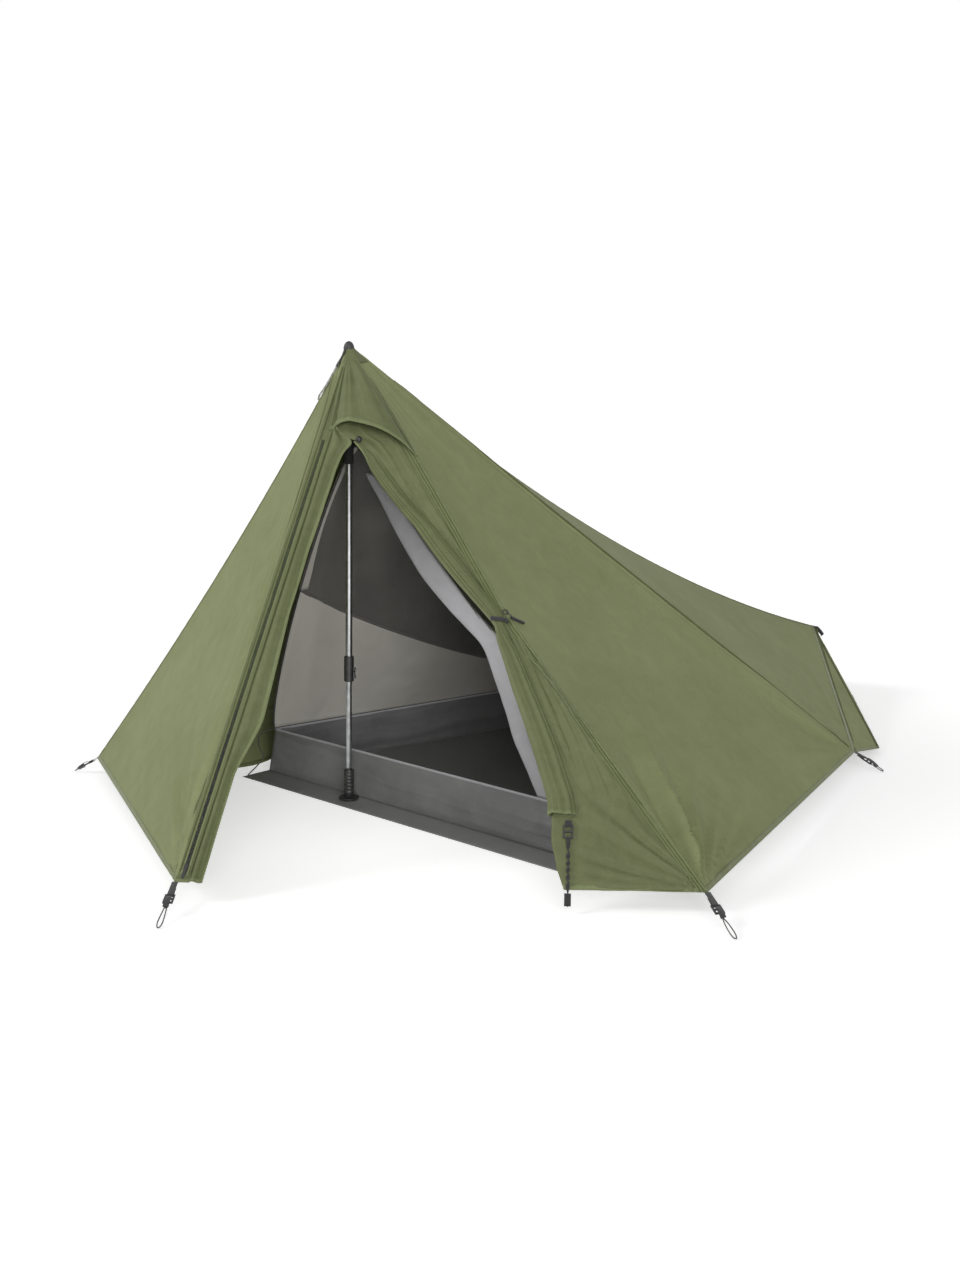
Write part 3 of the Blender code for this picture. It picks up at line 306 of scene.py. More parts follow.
# %% Cloth finishes
fly_cloth = woven("coated_ripstop_nylon_fly", "71774F", "80865F", "8E946C", 0.006, 16.0, 0.70, specular=0.2)
# A still darker copy of the fly cloth for the seam bands: darker along the seams, and painted shade on the
# bands down the side panels' creases.
seam_cloth_painted_shade = woven("coated_ripstop_nylon_seams_painted_shade", "454B2C", "555C39", "6A7149", 0.006, 60.0, 0.7,
                   specular=0.2)
# A darker copy of the fly cloth for the door, storm flap, vent hood, apex patch and zip welts: painted shade,
# for the lesser light on the door side.
flap_cloth_painted_shade = woven("coated_ripstop_nylon_door_painted_shade", "525738", "606644", "717753", 0.006, 30.0, 0.62,
                   specular=0.3)
inner_cloth = woven("breathable_nylon_inner", "9D9A92", "AAA79F", "B5B2AA", 0.009, 9.0, 0.8)
tub_cloth = woven("coated_nylon_tub", "525252", "656565", "787878", 0.007, 13.0, 0.46, 0.1, coat=0.1)
# A lighter copy of the floor cloth for the apron in front of the tub: painted light, so that it reads as lit
# as the front wall.
apron_cloth_painted_light = woven("coated_nylon_apron_painted_light", "6A6A6A", "7C7C7C", "8C8C8C", 0.007, 13.0, 0.5)
floor_cloth = woven("coated_nylon_floor", "626262", "6E6E6E", "7A7A7A", 0.007, 7.0, 0.5)
binding_cloth = woven("grosgrain_binding", "8E8D8F", "9C9B9E", "A9A8AB", 0.003, 22.0, 0.75)


def mesh_net():
    """Knitted insect net, with holes that let some of the light through."""
    made, tree, shader = finish("polyester_insect_net", Roughness=0.85, Sheen_Weight=0.1)
    place, hole = coordinates(tree), 0.0032
    holes = add(tree, "ShaderNodeTexVoronoi", {"feature": 'DISTANCE_TO_EDGE'}, Vector=place,
                Scale=1 / hole, Randomness=0.25)
    edge = add(tree, "ShaderNodeMapRange", Value=holes.outputs["Distance"],
               **{"From Min": 0.22, "From Max": 0.34, "To Min": 1.0, "To Max": 0.62})
    tree.links.new(edge.outputs["Result"], shader.inputs["Alpha"])
    set_colour(tree, shader, clouds(tree, place, 4.0, Detail=4.0), (0.3, "4A4946"), (0.7, "5E5C57"))
    return made


net = mesh_net()
print("cloths", [cloth.name for cloth in (fly_cloth, flap_cloth_painted_shade, inner_cloth, tub_cloth, floor_cloth,
                                          binding_cloth, net)])

# %% [markdown]
# ### Webbing, cord, plastic and metal
#
# Webbing is a coarse plain weave, so its bump is two crossed waves a thread wide. The cords have a
# braided sheath, with a reflective thread in the guyline. Buckles, sleeve and basket are moulded nylon
# with a fine spark-eroded grain. The pole is drawn aluminium, bead blasted, with faint turning marks.

# %% Hard and narrow finishes
def webbing(name, dark, light, pitch):
    made, tree, shader = finish(name, Roughness=0.8, Sheen_Weight=0.2)
    place = coordinates(tree)
    weave = calc(tree, 'MULTIPLY', waves(tree, 'X', place, pitch), waves(tree, 'Y', place, pitch * 1.4))
    set_colour(tree, shader, weave, (0.1, dark), (0.8, light))
    set_relief(tree, shader, weave, 0.8, 0.0006)
    return made


def braided(name, dark, light, pitch):
    """A braided sheath: diagonal bands that cross, on the cord's own UV."""
    made, tree, shader = finish(name, Roughness=0.55)
    place = coordinates(tree)
    turned = add(tree, "ShaderNodeMapping", Vector=place, Rotation=(0, 0, math.radians(90))).outputs[0]
    weave = calc(tree, 'MAXIMUM', *(waves(tree, 'DIAGONAL', way, pitch) for way in (place, turned)))
    set_colour(tree, shader, weave, (0.35, dark), (0.95, light))
    set_relief(tree, shader, weave, 0.7, 0.0005)
    return made


def moulded(name, dark, light, roughness, grain=0.0011, depth=0.0002, metallic=0.0):
    made, tree, shader = finish(name, Roughness=roughness, Metallic=metallic)
    place = coordinates(tree, "Object")
    set_colour(tree, shader, clouds(tree, place, 60.0, Detail=4.0), (0.35, dark), (0.75, light))
    set_relief(tree, shader, clouds(tree, place, 1 / grain, Detail=3.0), 0.6, depth)
    return made


black_webbing = webbing("nylon_webbing_black", "191919", "3A3A3A", 0.0016)
reflective_cord = braided("braided_cord_reflective", "3A3A38", "C9C9C4", 0.0022)
elastic_cord = braided("braided_elastic_black", "141414", "4A4A48", 0.0018)
loop_cord = braided("braided_cord_black_fleck", "161616", "6E6E6B", 0.0022)
black_plastic = moulded("moulded_nylon_black", "1C1C1C", "2E2E2E", 0.48)
grip_foam = moulded("eva_foam_grip", "161616", "242424", 0.85, 0.0016, 0.0005)
pole_metal = moulded("drawn_aluminium_blasted", "A9ABAC", "C6C8C9", 0.34, 0.0007, 0.00005, 1.0)
steel = moulded("carbide_steel_tip", "8B8D8E", "B2B4B5", 0.35, 0.0009, 0.0001, 1.0)
print("narrow finishes ready")

# %% [markdown]
# ## Cords
#
# The guyline hangs from the apex strap, goes over the left edge and lies loose on the ground on the far
# side. It is a braided cord of 2.2 mm, doubled and twisted near the strap. The elastic draws the tub's
# corner out. Both follow the routes of their solids, so they are tubes along the same points.

# %% Guyline and elastic
guy_route = ((-0.3287, 0.0299, 1.2854), (-0.3361, 0.0271, 1.2728), (-0.3563, 0.0212, 1.2403),
             (-0.3743, 0.0163, 1.2149), (-0.3914, 0.0133, 1.1921), (-0.4109, 0.0239, 1.1503),
             (-0.4595, 0.0453, 1.0475), (-0.5569, 0.0741, 0.8502), (-0.6543, 0.0969, 0.6589),
             (-0.7517, 0.1197, 0.4707), (-0.8491, 0.1425, 0.2855), (-0.9367, 0.1630, 0.1213),
             (-0.9640, 0.1710, 0.0690), (-0.9790, 0.1790, 0.0380), (-0.9880, 0.1950, 0.0090),
             (-0.9900, 0.2250, 0.0024), (-0.9760, 0.3000, 0.0022), (-0.9950, 0.4000, 0.0022),
             (-0.9720, 0.5000, 0.0022), (-0.9850, 0.6100, 0.0022))
guy_radius, guy_sides = 0.0011, 8
guy_path = smooth_path(guy_route, 4)
guyline = piece("guyline", [tube(guy_path, guy_radius, guy_sides)], reflective_cord, "apex_guyline")
guy_length = float(lengths_along(guy_path)[-1])

face_out = np.array([-0.30, -0.80, 0.52])
doubled = smooth_path(guy_path[:18], 3)
sway = np.sin(lengths_along(doubled) / 0.016 * math.tau)
aside = unit(np.cross(np.gradient(doubled, axis=0), face_out))
doubled = doubled + unit(face_out) * 0.0024 + aside * (0.0016 * sway)[:, None]
other_strand = doubled + unit(face_out) * 0.0016 - aside * (0.0032 * sway)[:, None]
strands = [tube(strand, guy_radius, guy_sides) for strand in (doubled, other_strand)]
guy_twist = piece("guyline_twist", strands, reflective_cord)
knot_radius, knot_length = 0.0030, 0.008
knot_angle = np.linspace(0, 2.6 * math.tau, 60)
knot_path = guy_path[-1] + np.array([0.0, 0.004, 0.0030]) + np.stack(
    [knot_radius * np.cos(knot_angle), (knot_angle / knot_angle[-1] - 0.5) * knot_length,
     knot_radius * np.sin(knot_angle)], axis=1)
guy_knot = piece("guyline_end_knot", [tube(knot_path, guy_radius, guy_sides)], reflective_cord)
print("guyline", round(guy_length, 3), "m")

# %% Corner elastic of the tub
elastic_route = ((-0.7067, 0.1051, 0.1319), (-0.7267, 0.0911, 0.1279), (-0.7467, 0.0731, 0.1119),
                 (-0.7387, 0.0651, 0.0799), (-0.7207, 0.0651, 0.0439), (-0.7224, 0.0085, 0.0033))
elastic_path = smooth_path(elastic_route, 4)
elastic_length = float(lengths_along(elastic_path)[-1])
elastic = piece("tub_elastic", [tube(elastic_path, 0.0018, 10)], elastic_cord, "tub_corner_elastic")
print("elastic", round(elastic_length, 3), "m")

# %% [markdown]
# ## The flysheet's curves
#
# Every panel of the fly hangs between curves that run down from the apex to a corner: the left edge, the
# fold that carries the zip, the right front seam, the right crease, the ridge to the foot and the left
# crease. A panel is a fan of points between such curves, and its wrinkles are added on top of it.

# %% Corners and curves of the fly
apex_height, stake_height, panel_top = 1.350, 0.050, 1.3377
hem_share = stake_height / apex_height
apex, foot_peak = np.array([(-0.300, 0.050, apex_height), (-0.083, 2.232, 0.250)])
left_wing, door_stake, right_wing, right_side, left_side = np.array([(*place, stake_height) for place in (
    (-1.082, -0.302), (0.040, -0.830), (1.031, 0.008), (0.600, 1.396), (-0.660, 1.500))])
right_shoulder, left_shoulder, right_foot, left_foot = np.array([(*place, 0.020) for place in (
    (0.571, 1.596), (-0.660, 1.900), (0.120, 2.180), (-0.340, 2.360))])
core = np.array([0, 0.600, -0.300])


def table(pairs, height_share, soft=0.02):
    """Reads a falling table at height shares, with its corners softened."""
    pairs = np.array(pairs)[::-1]
    fine = np.linspace(pairs[0, 0], pairs[-1, 0], 400)
    values = np.interp(fine, pairs[:, 0], pairs[:, 1])
    reach = max(1, int(soft / (fine[1] - fine[0])))
    padded = np.concatenate([2 * values[0] - values[reach:0:-1], values,
                             2 * values[-1] - values[-2:-reach - 2:-1]])
    values = np.convolve(padded, np.ones(2 * reach + 1) / (2 * reach + 1), mode="valid")
    return np.interp(height_share, fine, values)


def share_at(height, corner):
    return (apex_height - height) / (apex_height - corner[2])


def to_corner(corner, sag=0.0, toward=(0, 0, -1)):
    """A curve from the apex to a corner, by share of the way, that sags toward a direction."""
    def curve(share):
        share = np.atleast_1d(share)[:, None]
        return apex + (corner - apex) * share + np.array(toward) * (4 * share * (1 - share) * sag)
    return curve


left_seam = to_corner(left_wing, 0.026, unit(right_side - left_wing))
zip_fold = to_corner(door_stake)
ridge = to_corner(foot_peak, 0.122)
right_crease = to_corner(right_side)
left_crease = to_corner(left_side)
straight_right = to_corner(right_wing)
seam_pull = ((1.0, 0.0), (0.78, 0.28), (0.60, 0.70), (0.48, 1.0), (0.33, 0.72), (0.17, 0.30), (0.037, 0.0))


def right_seam(share):
    places = straight_right(share)
    pulled = 0.052 * table(seam_pull, places[:, 2] / apex_height)
    return places + unit(door_stake - right_wing) * pulled[:, None]


door_normal = unit(np.cross(door_stake - apex, right_wing - apex))


def door_place(height_share, across, lift=0.0):
    """Points on the door's plane: across runs from the zip fold, 0, to the right corner's line, 1."""
    height = apex_height * np.atleast_1d(np.asarray(height_share, float))
    across, lift = (np.broadcast_to(np.asarray(value, float), height.shape)[:, None]
                    for value in (across, lift))
    left, right = zip_fold(share_at(height, door_stake)), straight_right(share_at(height, right_wing))
    return left + (right - left) * across + door_normal * lift


def seam_place(height_share):
    return right_seam(share_at(apex_height * np.atleast_1d(height_share), right_wing))


print("door faces", np.round(door_normal, 3))

# %% [markdown]
# ## Wrinkles
#
# Taut cloth shows its load paths: fine folds fan out of each pulled corner and die away, and longer
# waves run along an edge that is pulled lengthwise. Noise along the angle round a corner gives the fans,
# and noise across an edge gives the waves. Both fade out at seams, so that sewn panels still meet.

# %% Noise, normals and wrinkles
def noise(x, seed, octaves=3):
    """Smooth noise from about -1 to 1 along one number, the same on each run."""
    period, falloff, shift, origin = 4096, 0.55, 17.3, 500
    values = np.random.default_rng(seed).uniform(-1, 1, period)
    x = np.asarray(x, float)
    total, size = np.zeros_like(x), 0.0
    for octave in range(octaves):
        at = x * 2 ** octave + shift * octave + origin
        low = np.floor(at).astype(int)
        part = at - low
        part = part * part * (3 - 2 * part)
        total += (values[low % period] * (1 - part) + values[(low + 1) % period] * part) * falloff ** octave
        size += falloff ** octave
    return total / size


def fade(x, low, high):
    """0 below low, 1 above high, and smooth between."""
    t = np.clip((x - low) / (high - low), 0, 1)
    return t * t * (3 - 2 * t)


def bell(x, middle, width):
    return np.exp(-((x - middle) / width) ** 2)


def normals_of(grid):
    """Normals of a grid of points, on the side away from the middle of the tent."""
    normal = unit(np.cross(np.gradient(grid, axis=1), np.gradient(grid, axis=0)))
    return -normal if ((grid - core) * normal).sum(-1).mean() < 0 else normal


def mean_normal(grid):
    return unit(normals_of(grid).reshape(-1, 3).mean(axis=0))


def fan_out(grid, corner, reach, depth, count, seed, start=0.04):
    """Folds that fan out of a corner, as lifts along the normals. count is folds per radian."""
    away = grid - corner
    far = np.linalg.norm(away, axis=-1)
    middle = unit(away.reshape(-1, 3).mean(axis=0))
    side = unit(np.cross(mean_normal(grid), middle))
    angle = np.arctan2(away @ side, away @ middle) * count + noise(far * 5, seed + 7, 2) * 0.25
    shape = fade(far, 0.0, start) * (1 - fade(far, reach * 0.25, reach))
    ridges = 1 - 2.2 * np.abs(noise(angle * 0.8, seed + 3, 2)) ** 0.75
    return depth * shape * (0.5 * noise(angle, seed) + 0.5 * ridges)


def fans(grid, *pulls):
    """The fans of several corners together, each (corner, reach, depth, count, seed) and maybe start."""
    return sum(fan_out(grid, *pull) for pull in pulls)


def edge_fade(rows, columns, top=0.03, bottom=0.0, left=0.03, right=0.03):
    """A mask that is 0 on the sewn edges of a grid; a side of width 0 is free."""
    r, c = np.linspace(0, 1, rows)[:, None], np.linspace(0, 1, columns)[None]
    mask = np.ones((rows, columns))
    for value, width in ((r, top), (1 - r, bottom), (c, left), (1 - c, right)):
        if width:
            mask = mask * fade(value, 0, width)
    return mask


def between(left, right, share):
    """A grid between two lines of points, with a column for each share of the way."""
    return left[:, None] + (right - left)[:, None] * share[..., None]


def fan_grid(curves, counts, rows, soften=0, crowd=0.0):
    """A grid between curves, each given with the share of it at which the grid starts.

    crowd packs the first strip's columns at its two sides."""
    shares = np.linspace(0, 1, rows)
    places = [curve(start + (1 - start) * shares) for curve, start in curves]
    columns = []
    for first, second, count in zip(places, places[1:], counts):
        even = np.arange(count) / count
        packed = even + crowd * ((1 - np.cos(math.pi * even)) / 2 - even)
        columns += [first + (second - first) * share for share in packed]
        crowd = 0.0
    flat = np.stack(columns + [places[-1]], axis=1)
    for edge in np.cumsum(counts[:-1]):
        for _ in range(soften):
            before, here, after = (slice(edge - 8 + move, edge + 9 + move) for move in (-1, 0, 1))
            flat[:, here] = (flat[:, before] + 2 * flat[:, here] + flat[:, after]) / 4
    return flat


def flat_map(grid):
    """Each point's place on the cloth in metres, measured in the panel's own plane."""
    along = unit(grid[-1].mean(axis=0) - grid[0].mean(axis=0))
    across = np.cross(along, mean_normal(grid))
    return np.stack([grid @ across, grid @ along], axis=-1)


def grid_area(grid):
    one = np.cross(grid[1:, :-1] - grid[:-1, :-1], grid[:-1, 1:] - grid[:-1, :-1])
    two = np.cross(grid[1:, :-1] - grid[1:, 1:], grid[:-1, 1:] - grid[1:, 1:])
    return float((np.linalg.norm(one, axis=-1) + np.linalg.norm(two, axis=-1)).sum() / 2)


def panel(name, grid, lift, cloth, node, thickness=0.0009):
    """A sheet from a grid and its wrinkles, thickened to the inside; its flat size is printed."""
    normal = normals_of(grid)
    shaped = grid + normal * np.asarray(lift)[..., None]
    rows, columns = grid.shape[:2]
    uv = flat_map(grid).reshape(-1, 2)
    corners = (np.arange(rows - 1)[:, None] * columns + np.arange(columns - 1)).reshape(-1, 1)
    faces = (corners + [0, 1, columns + 1, columns]).tolist()
    made = make_mesh(name, [(shaped.reshape(-1, 3), faces, uv)], cloth)
    middle = len(faces) // 2
    if np.array(made.data.polygons[middle].normal) @ normal[divmod(middle, columns - 1)] < 0:
        made.data.flip_normals()
    thicken(made, thickness)
    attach(made, "tent")
    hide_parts(node)
    area = grid_area(grid)
    wide, long = (float(span) for span in np.ptp(uv, axis=0))
    if not 0.35 < area / (wide * long) <= 1:
        long = float(lengths_along(grid[:, columns // 2])[-1])
        wide = area / long
    shapes[name] = (shaped, normal)
    print(name, round(wide, 3), "by", round(long, 3), "m,", round(area, 3), "m2")
    return made


shapes = {}
print("wrinkle helpers ready")

# %% [markdown]
# ## The flysheet's fixed panels
#
# The front left panel is pulled between three stakes, so a fan of folds rises from the door stake and
# smaller ones leave the wing. Beside the zip the cloth is slack, and lies in long soft folds along it.
# The big side panels have a fan at each stake, and a crease down to the side one. The foot panels are
# small fans round the foot peak.

# %% Front left panel
def from_top(curve, corner):
    return curve, share_at(panel_top, corner)


rows, columns = 190, 90
grid = fan_grid((from_top(left_seam, left_wing), from_top(zip_fold, door_stake)), (columns - 1,), rows)
from_fold = np.linalg.norm(grid - grid[:, -1:], axis=-1)
height = grid[..., 2]
lift = fans(grid, (door_stake, 0.72, 0.020, 10.0, 3), (left_wing, 0.45, 0.006, 9.0, 5))
along_zip, slack_fold = 1 - fade(from_fold, 0.03, 0.16), 0.055
lift += along_zip * (0.006 * np.sin(from_fold / slack_fold * math.tau + 0.8 * noise(height * 3, 8)) - 0.002)
lift += 0.0016 * noise(from_fold * 26 + noise(height * 2.2, 12) * 1.5, 11) * (1 - fade(from_fold, 0.3, 0.7))
bow = [np.sin(np.linspace(0, math.pi, count)) for count in (rows, columns)]
lift -= 0.010 * bow[1][None] * bow[0][:, None]
lift *= edge_fade(rows, columns, top=0.02, left=0.03, right=0.02)
lift *= 0.2 + 0.8 * edge_fade(rows, columns, 0, 0.09, 0, 0)
panel("fly_front_left", grid, lift, fly_cloth, "fly_front_left_panel")

# %% Right panel
right_counts, left_counts = (150, 60), (60, 80)
crease = right_counts[0]
columns = sum(right_counts) + 1
grid = fan_grid((from_top(right_seam, right_wing), from_top(right_crease, right_side),
                 from_top(ridge, foot_peak)), right_counts, rows, soften=4, crowd=0.65)
lift = fans(grid, (right_wing, 0.70, 0.034, 5.5, 21, 0.12), (right_wing, 0.62, 0.026, 7.5, 22, 0.15),
            (right_side, 0.70, 0.012, 8.0, 23, 0.10), (foot_peak, 0.55, 0.004, 8.0, 25),
            (apex, 0.80, 0.004, 10.0, 27))
from_seam = np.linalg.norm(grid - grid[:, :1], axis=-1)
lift += 0.003 * noise(from_seam * 10 + noise(grid[..., 2] * 3, 31), 29) * (1 - fade(from_seam, 0.2, 0.6))
r, c = np.linspace(0, 1, rows)[:, None], np.linspace(0, 1, columns)[None]
sink, crease_depth, crease_offset, crease_width = 0.012, 0.009, -0.014, 0.013
lift -= sink * np.sin(math.pi * np.clip(c * columns / crease, 0, 1)) * np.sin(math.pi * r)
beside = np.linalg.norm(grid - grid[:, crease:crease + 1], axis=-1)
beside = beside * np.where(np.arange(columns) < crease, -1, 1)
lift -= crease_depth * bell(beside, crease_offset, crease_width) * fade(r, 0.12, 0.4)
near_crease = bell(beside, -0.05, 0.09) * fade(r, 0.35, 0.65)
lift += 0.005 * noise(beside * 24 + 0.5 * noise(r * 6, 34), 33) * near_crease
lift *= edge_fade(rows, columns, top=0.02, left=0.03, right=0.02)
lift *= 0.35 + 0.65 * edge_fade(rows, columns, 0, 0.04, 0, 0)
panel("fly_right_side", grid, lift, fly_cloth, "fly_right_panel")

# %% Left panel
columns = sum(left_counts) + 1
grid = fan_grid((from_top(ridge, foot_peak), from_top(left_crease, left_side),
                 from_top(left_seam, left_wing)), left_counts, rows, soften=10)
lift = fans(grid, (left_wing, 0.75, 0.010, 11.0, 41), (left_side, 0.70, 0.007, 8.0, 43),
            (foot_peak, 0.55, 0.004, 8.0, 45), (apex, 0.80, 0.004, 10.0, 47))
lift *= edge_fade(rows, columns, top=0.02, left=0.02, right=0.02)
across_panel = np.linspace(0, 1, columns)
along_hem = bell(across_panel, 0.885, 0.085) * fade(1 - across_panel, 0.0, 0.07)
turned_in = along_hem[None] * np.clip((np.linspace(0, 1, rows)[:, None] - 0.935) / 0.065, 0, 1)
grid = grid + turned_in[..., None] * [0.200, 0, 0] - np.sqrt(turned_in)[..., None] * [0, 0, 0.044]
panel("fly_left_side", grid, lift, fly_cloth, "fly_left_panel")

# %% Foot panels
def from_peak(corner):
    """The line from the foot peak to a corner, and its share at 16 mm from the peak, where panels start."""
    def curve(share):
        return foot_peak + (corner - foot_peak) * np.atleast_1d(share)[:, None]
    return curve, peak_clear / float(np.linalg.norm(corner - foot_peak))


rows, peak_clear = 60, 0.016
corners = (right_shoulder, right_foot, left_foot, left_shoulder, left_side)
grid = fan_grid([from_peak(corner) for corner in corners], (30, 26, 30, 24), rows, soften=1)
lift = fans(grid, (foot_peak, 0.5, 0.006, 7.0, 51, 0.02))
lift *= edge_fade(rows, grid.shape[1], top=0.05, left=0.04, right=0.04)
panel("fly_foot_end", grid, lift, fly_cloth, "fly_foot_panel")
grid = fan_grid([from_peak(corner) for corner in (right_side, right_shoulder)], (36,), rows)
lift = fans(grid, (foot_peak, 0.6, 0.004, 9.0, 53, 0.02), (right_side, 0.4, 0.004, 9.0, 55))
lift *= edge_fade(rows, grid.shape[1], top=0.05, left=0.05, right=0.05)
panel("fly_foot_gusset", grid, lift, fly_cloth, "fly_right_foot_gusset")

# %% [markdown]
# ## The door
#
# The door is one cloth from the right front seam to the zip. Tied back, it gathers between the band and
# the seam, and below the band it hangs as a loose roll that is open at its end. The flat part beside the
# seam is a grid between two edges. The roll is a folded section through a few control points, one above
# the band and another below it.

# %% Storm flap under the zip
flap_edge = ((0.966, 0.140), (0.860, 0.150), (0.822, 0.190), (0.799, 0.400), (0.790, 0.335), (0.776, 0.275),
             (0.745, 0.226), (0.683, 0.179), (0.589, 0.131), (0.478, 0.104), (0.288, 0.097), (0.208, 0.059),
             (0.118, 0.054), (0.037, 0.051))
rows, columns = 230, 34
shares = np.linspace(0.966, hem_share, rows)
left = zip_fold(share_at(apex_height * shares, door_stake))
edge = door_place(shares, table(flap_edge, shares, 0.010))
t = np.linspace(0, 1, columns)
wide, zip_clear = np.linalg.norm(edge - left, axis=1)[:, None], 0.030
inset = wide * t[None]
across_pleats = (inset - zip_clear) / np.maximum(wide - zip_clear, 0.02)
pleat = np.clip(np.sin(across_pleats * math.pi * 2.0 - 0.5), -0.25, 1)
lift = fade(inset, 0.026, 0.040) * (0.0095 * pleat + 0.0025 * noise(inset * 60 + shares[:, None] * 3, 61))
lift *= (1 - 0.35 * noise(shares[:, None] * 12, 63)) * edge_fade(rows, columns, top=0.03, left=0, right=0)
lift *= 1 - 0.8 * (1 - fade(1 - t[None], 0.0, 0.06))
panel("fly_storm_flap", between(left, edge, t), lift, flap_cloth_painted_shade, "fly_zip_flap")

# %% Door panel beside the seam
gather_start = ((0.799, 0.435), (0.786, 0.500), (0.771, 0.560), (0.735, 0.630), (0.694, 0.695),
                (0.634, 0.800), (0.560, 0.862), (0.493, 0.900), (0.457, 0.902), (0.364, 0.883),
                (0.266, 0.864), (0.172, 0.838), (0.148, 0.824))
door_edge = ((0.970, 0.020), (0.860, 0.040), (0.826, 0.130), (0.810, 0.250)) + gather_start[:-1] + (
    (0.154, 0.775), (0.110, 0.748), (0.066, 0.736), (0.037, 0.734))
tie_share = 0.457
tie_place = door_place(tie_share, 0.93)[0]
rows, columns = 210, 56
shares = np.linspace(0.970, hem_share, rows)
seam = seam_place(shares)
edge = door_place(shares, table(door_edge, shares, 0.006))
t = np.linspace(0, 1, columns)
grid = between(seam, edge, t)
below = fade(tie_share - shares, 0.0, 0.08)[:, None]
lift = below * fan_out(grid, tie_place, 0.75, 0.013, 5.5, 71, start=0.05)
lift += fan_out(grid, right_wing, 0.50, 0.016, 9.0, 73)
lift += (1 - below) * 0.004 * noise(t[None] * 5 + shares[:, None] * 6, 75)
lift += 0.0045 * below * noise(grid[..., 2] * 9 + t[None] * 3.5 + noise(t * 4, 78)[None] * 1.2, 77)
strap_top, strap_low = door_place(0.140, 0.803)[0], door_place(0.012, 0.728)[0]
from_strap = np.linalg.norm(np.cross(grid - strap_top, unit(strap_low - strap_top)), axis=-1)
near_strap = (1 - fade(from_strap, 0.012, 0.05)) * fade(0.20 - shares, 0, 0.05)[:, None]
lift *= edge_fade(rows, columns, top=0.02, left=0.05, right=0.03) * (1 - near_strap)
lift -= 0.001 * near_strap
from_edge = np.linalg.norm(edge - seam, axis=1)[:, None] * (1 - t[None])
groove = fade(shares, 0.40, 0.5)[:, None] * (1 - fade(shares, 0.74, 0.79))[:, None]
lift -= 0.006 * bell(from_edge, 0.013, 0.008) * fade(from_edge, 0, 0.008) * groove
panel("fly_door_side", grid, lift, flap_cloth_painted_shade, "fly_door_panel")

# %% Gathered roll of the door
gather_edge = ((0.799, 0.405), (0.785, 0.460), (0.771, 0.490), (0.750, 0.510), (0.735, 0.530), (0.694, 0.605),
               (0.634, 0.705), (0.560, 0.772), (0.510, 0.820), (0.457, 0.866), (0.431, 0.844), (0.347, 0.817),
               (0.257, 0.798), (0.171, 0.778), (0.148, 0.765))
fold_depths = ((0.799, 0.05), (0.770, 0.35), (0.665, 0.70), (0.572, 0.60), (0.457, 0.45), (0.364, 0.70),
               (0.266, 0.90), (0.148, 1.0))
section_above = ((0.0, 0.0), (0.12, 0.55), (0.34, 0.90), (0.58, 0.95), (0.82, 1.0), (1.0, 0.75),
                 (1.04, 0.0), (0.97, -0.6), (0.80, -0.5))
section_below = ((0.30, -0.7), (0.04, -0.5), (0.0, 0.35), (0.20, 0.90), (0.55, 1.0), (0.86, 0.95),
                 (1.03, 0.3), (0.96, -0.6), (0.70, -0.8))
roll_rows, steps = 190, 12
roll_top, roll_end, roll_depth = 0.799, 0.148, 0.019
shares = np.linspace(roll_top, roll_end, roll_rows)
start, edge = (door_place(shares, table(places, shares, 0.006)) for places in (gather_start, gather_edge))
depth = roll_depth * table(fold_depths, shares)[:, None]
lower = fade(0.470 - shares, 0.0, 0.06)[:, None, None]
section = smooth_path(section_above, steps) * (1 - lower) + smooth_path(section_below, steps) * lower
t = np.linspace(0, 1, section.shape[1])[None]
front = np.sin(math.pi * np.clip((t - 0.06) / 0.72, 0, 1)) ** 0.7
fold = noise(t * 11 + noise(shares * 4, 83)[:, None] * 0.5, 81)
x = section[..., 0] + 0.02 * noise(t * 6 + shares[:, None] * 5, 85)
z = np.clip(section[..., 1] * depth + front * depth * 0.55 * (fold - 0.35), -1.0 * depth, 1.05 * depth)
tie_pinch = bell(shares, 0.465, 0.022)[:, None]
x = 0.5 + (x - 0.5) * (1 - 0.12 * tie_pinch)
x -= (x[:, :1] + 0.02) * (1 - fade(t, 0, 0.06))
z = z * (1 - 0.25 * tie_pinch)
grid = between(start, edge, x) + door_normal * z[..., None]
panel("fly_door_roll", grid, 0 * x, flap_cloth_painted_shade, "fly_door_gather")

# %% Vent hood
hood_hem = ((0.820, 0.100, 0.10), (0.828, 0.266, 0.55), (0.826, 0.400, 0.85), (0.815, 0.610, 1.0),
            (0.795, 0.809, 0.75), (0.768, 0.955, 0.12))
hood_depth, off_door = 0.045, 0.0015
hem_line = smooth_path([door_place(h, a, off_door + hood_depth * share)[0] for h, a, share in hood_hem], 12)
rows, columns = 60, len(hem_line)
part = np.linspace(0, 1, columns)
tops = door_place(np.full(columns, 0.968), 0.10 + 0.80 * part, off_door)
down = np.linspace(0, 1, rows)[:, None]
bulge = hood_depth * 0.25 * np.sin(math.pi * part)[None] * np.sin(math.pi * down)
grid = tops[None] + (hem_line - tops)[None] * down[..., None] + door_normal * bulge[..., None]
creases = 0.6 * np.cos(math.tau * 1.7 * (part - 0.20)) + 0.8 * noise(part * 8, 91)
creases -= 1.2 * bell(part, 0.06, 0.04)
radial = creases[None] * 0.0085 * fade(down, 0, 0.3) * (1 - 0.45 * fade(down, 0.75, 1.0))
rumple = 0.0035 * noise(part[None] * 9 + down * 5, 93) * noise(down * 9 - part[None] * 4, 95)
lift = (radial + rumple) * edge_fade(rows, columns, top=0.05, bottom=0.0, left=0.04, right=0.04)
panel("fly_vent_hood", grid, lift, flap_cloth_painted_shade, "vent_hood")

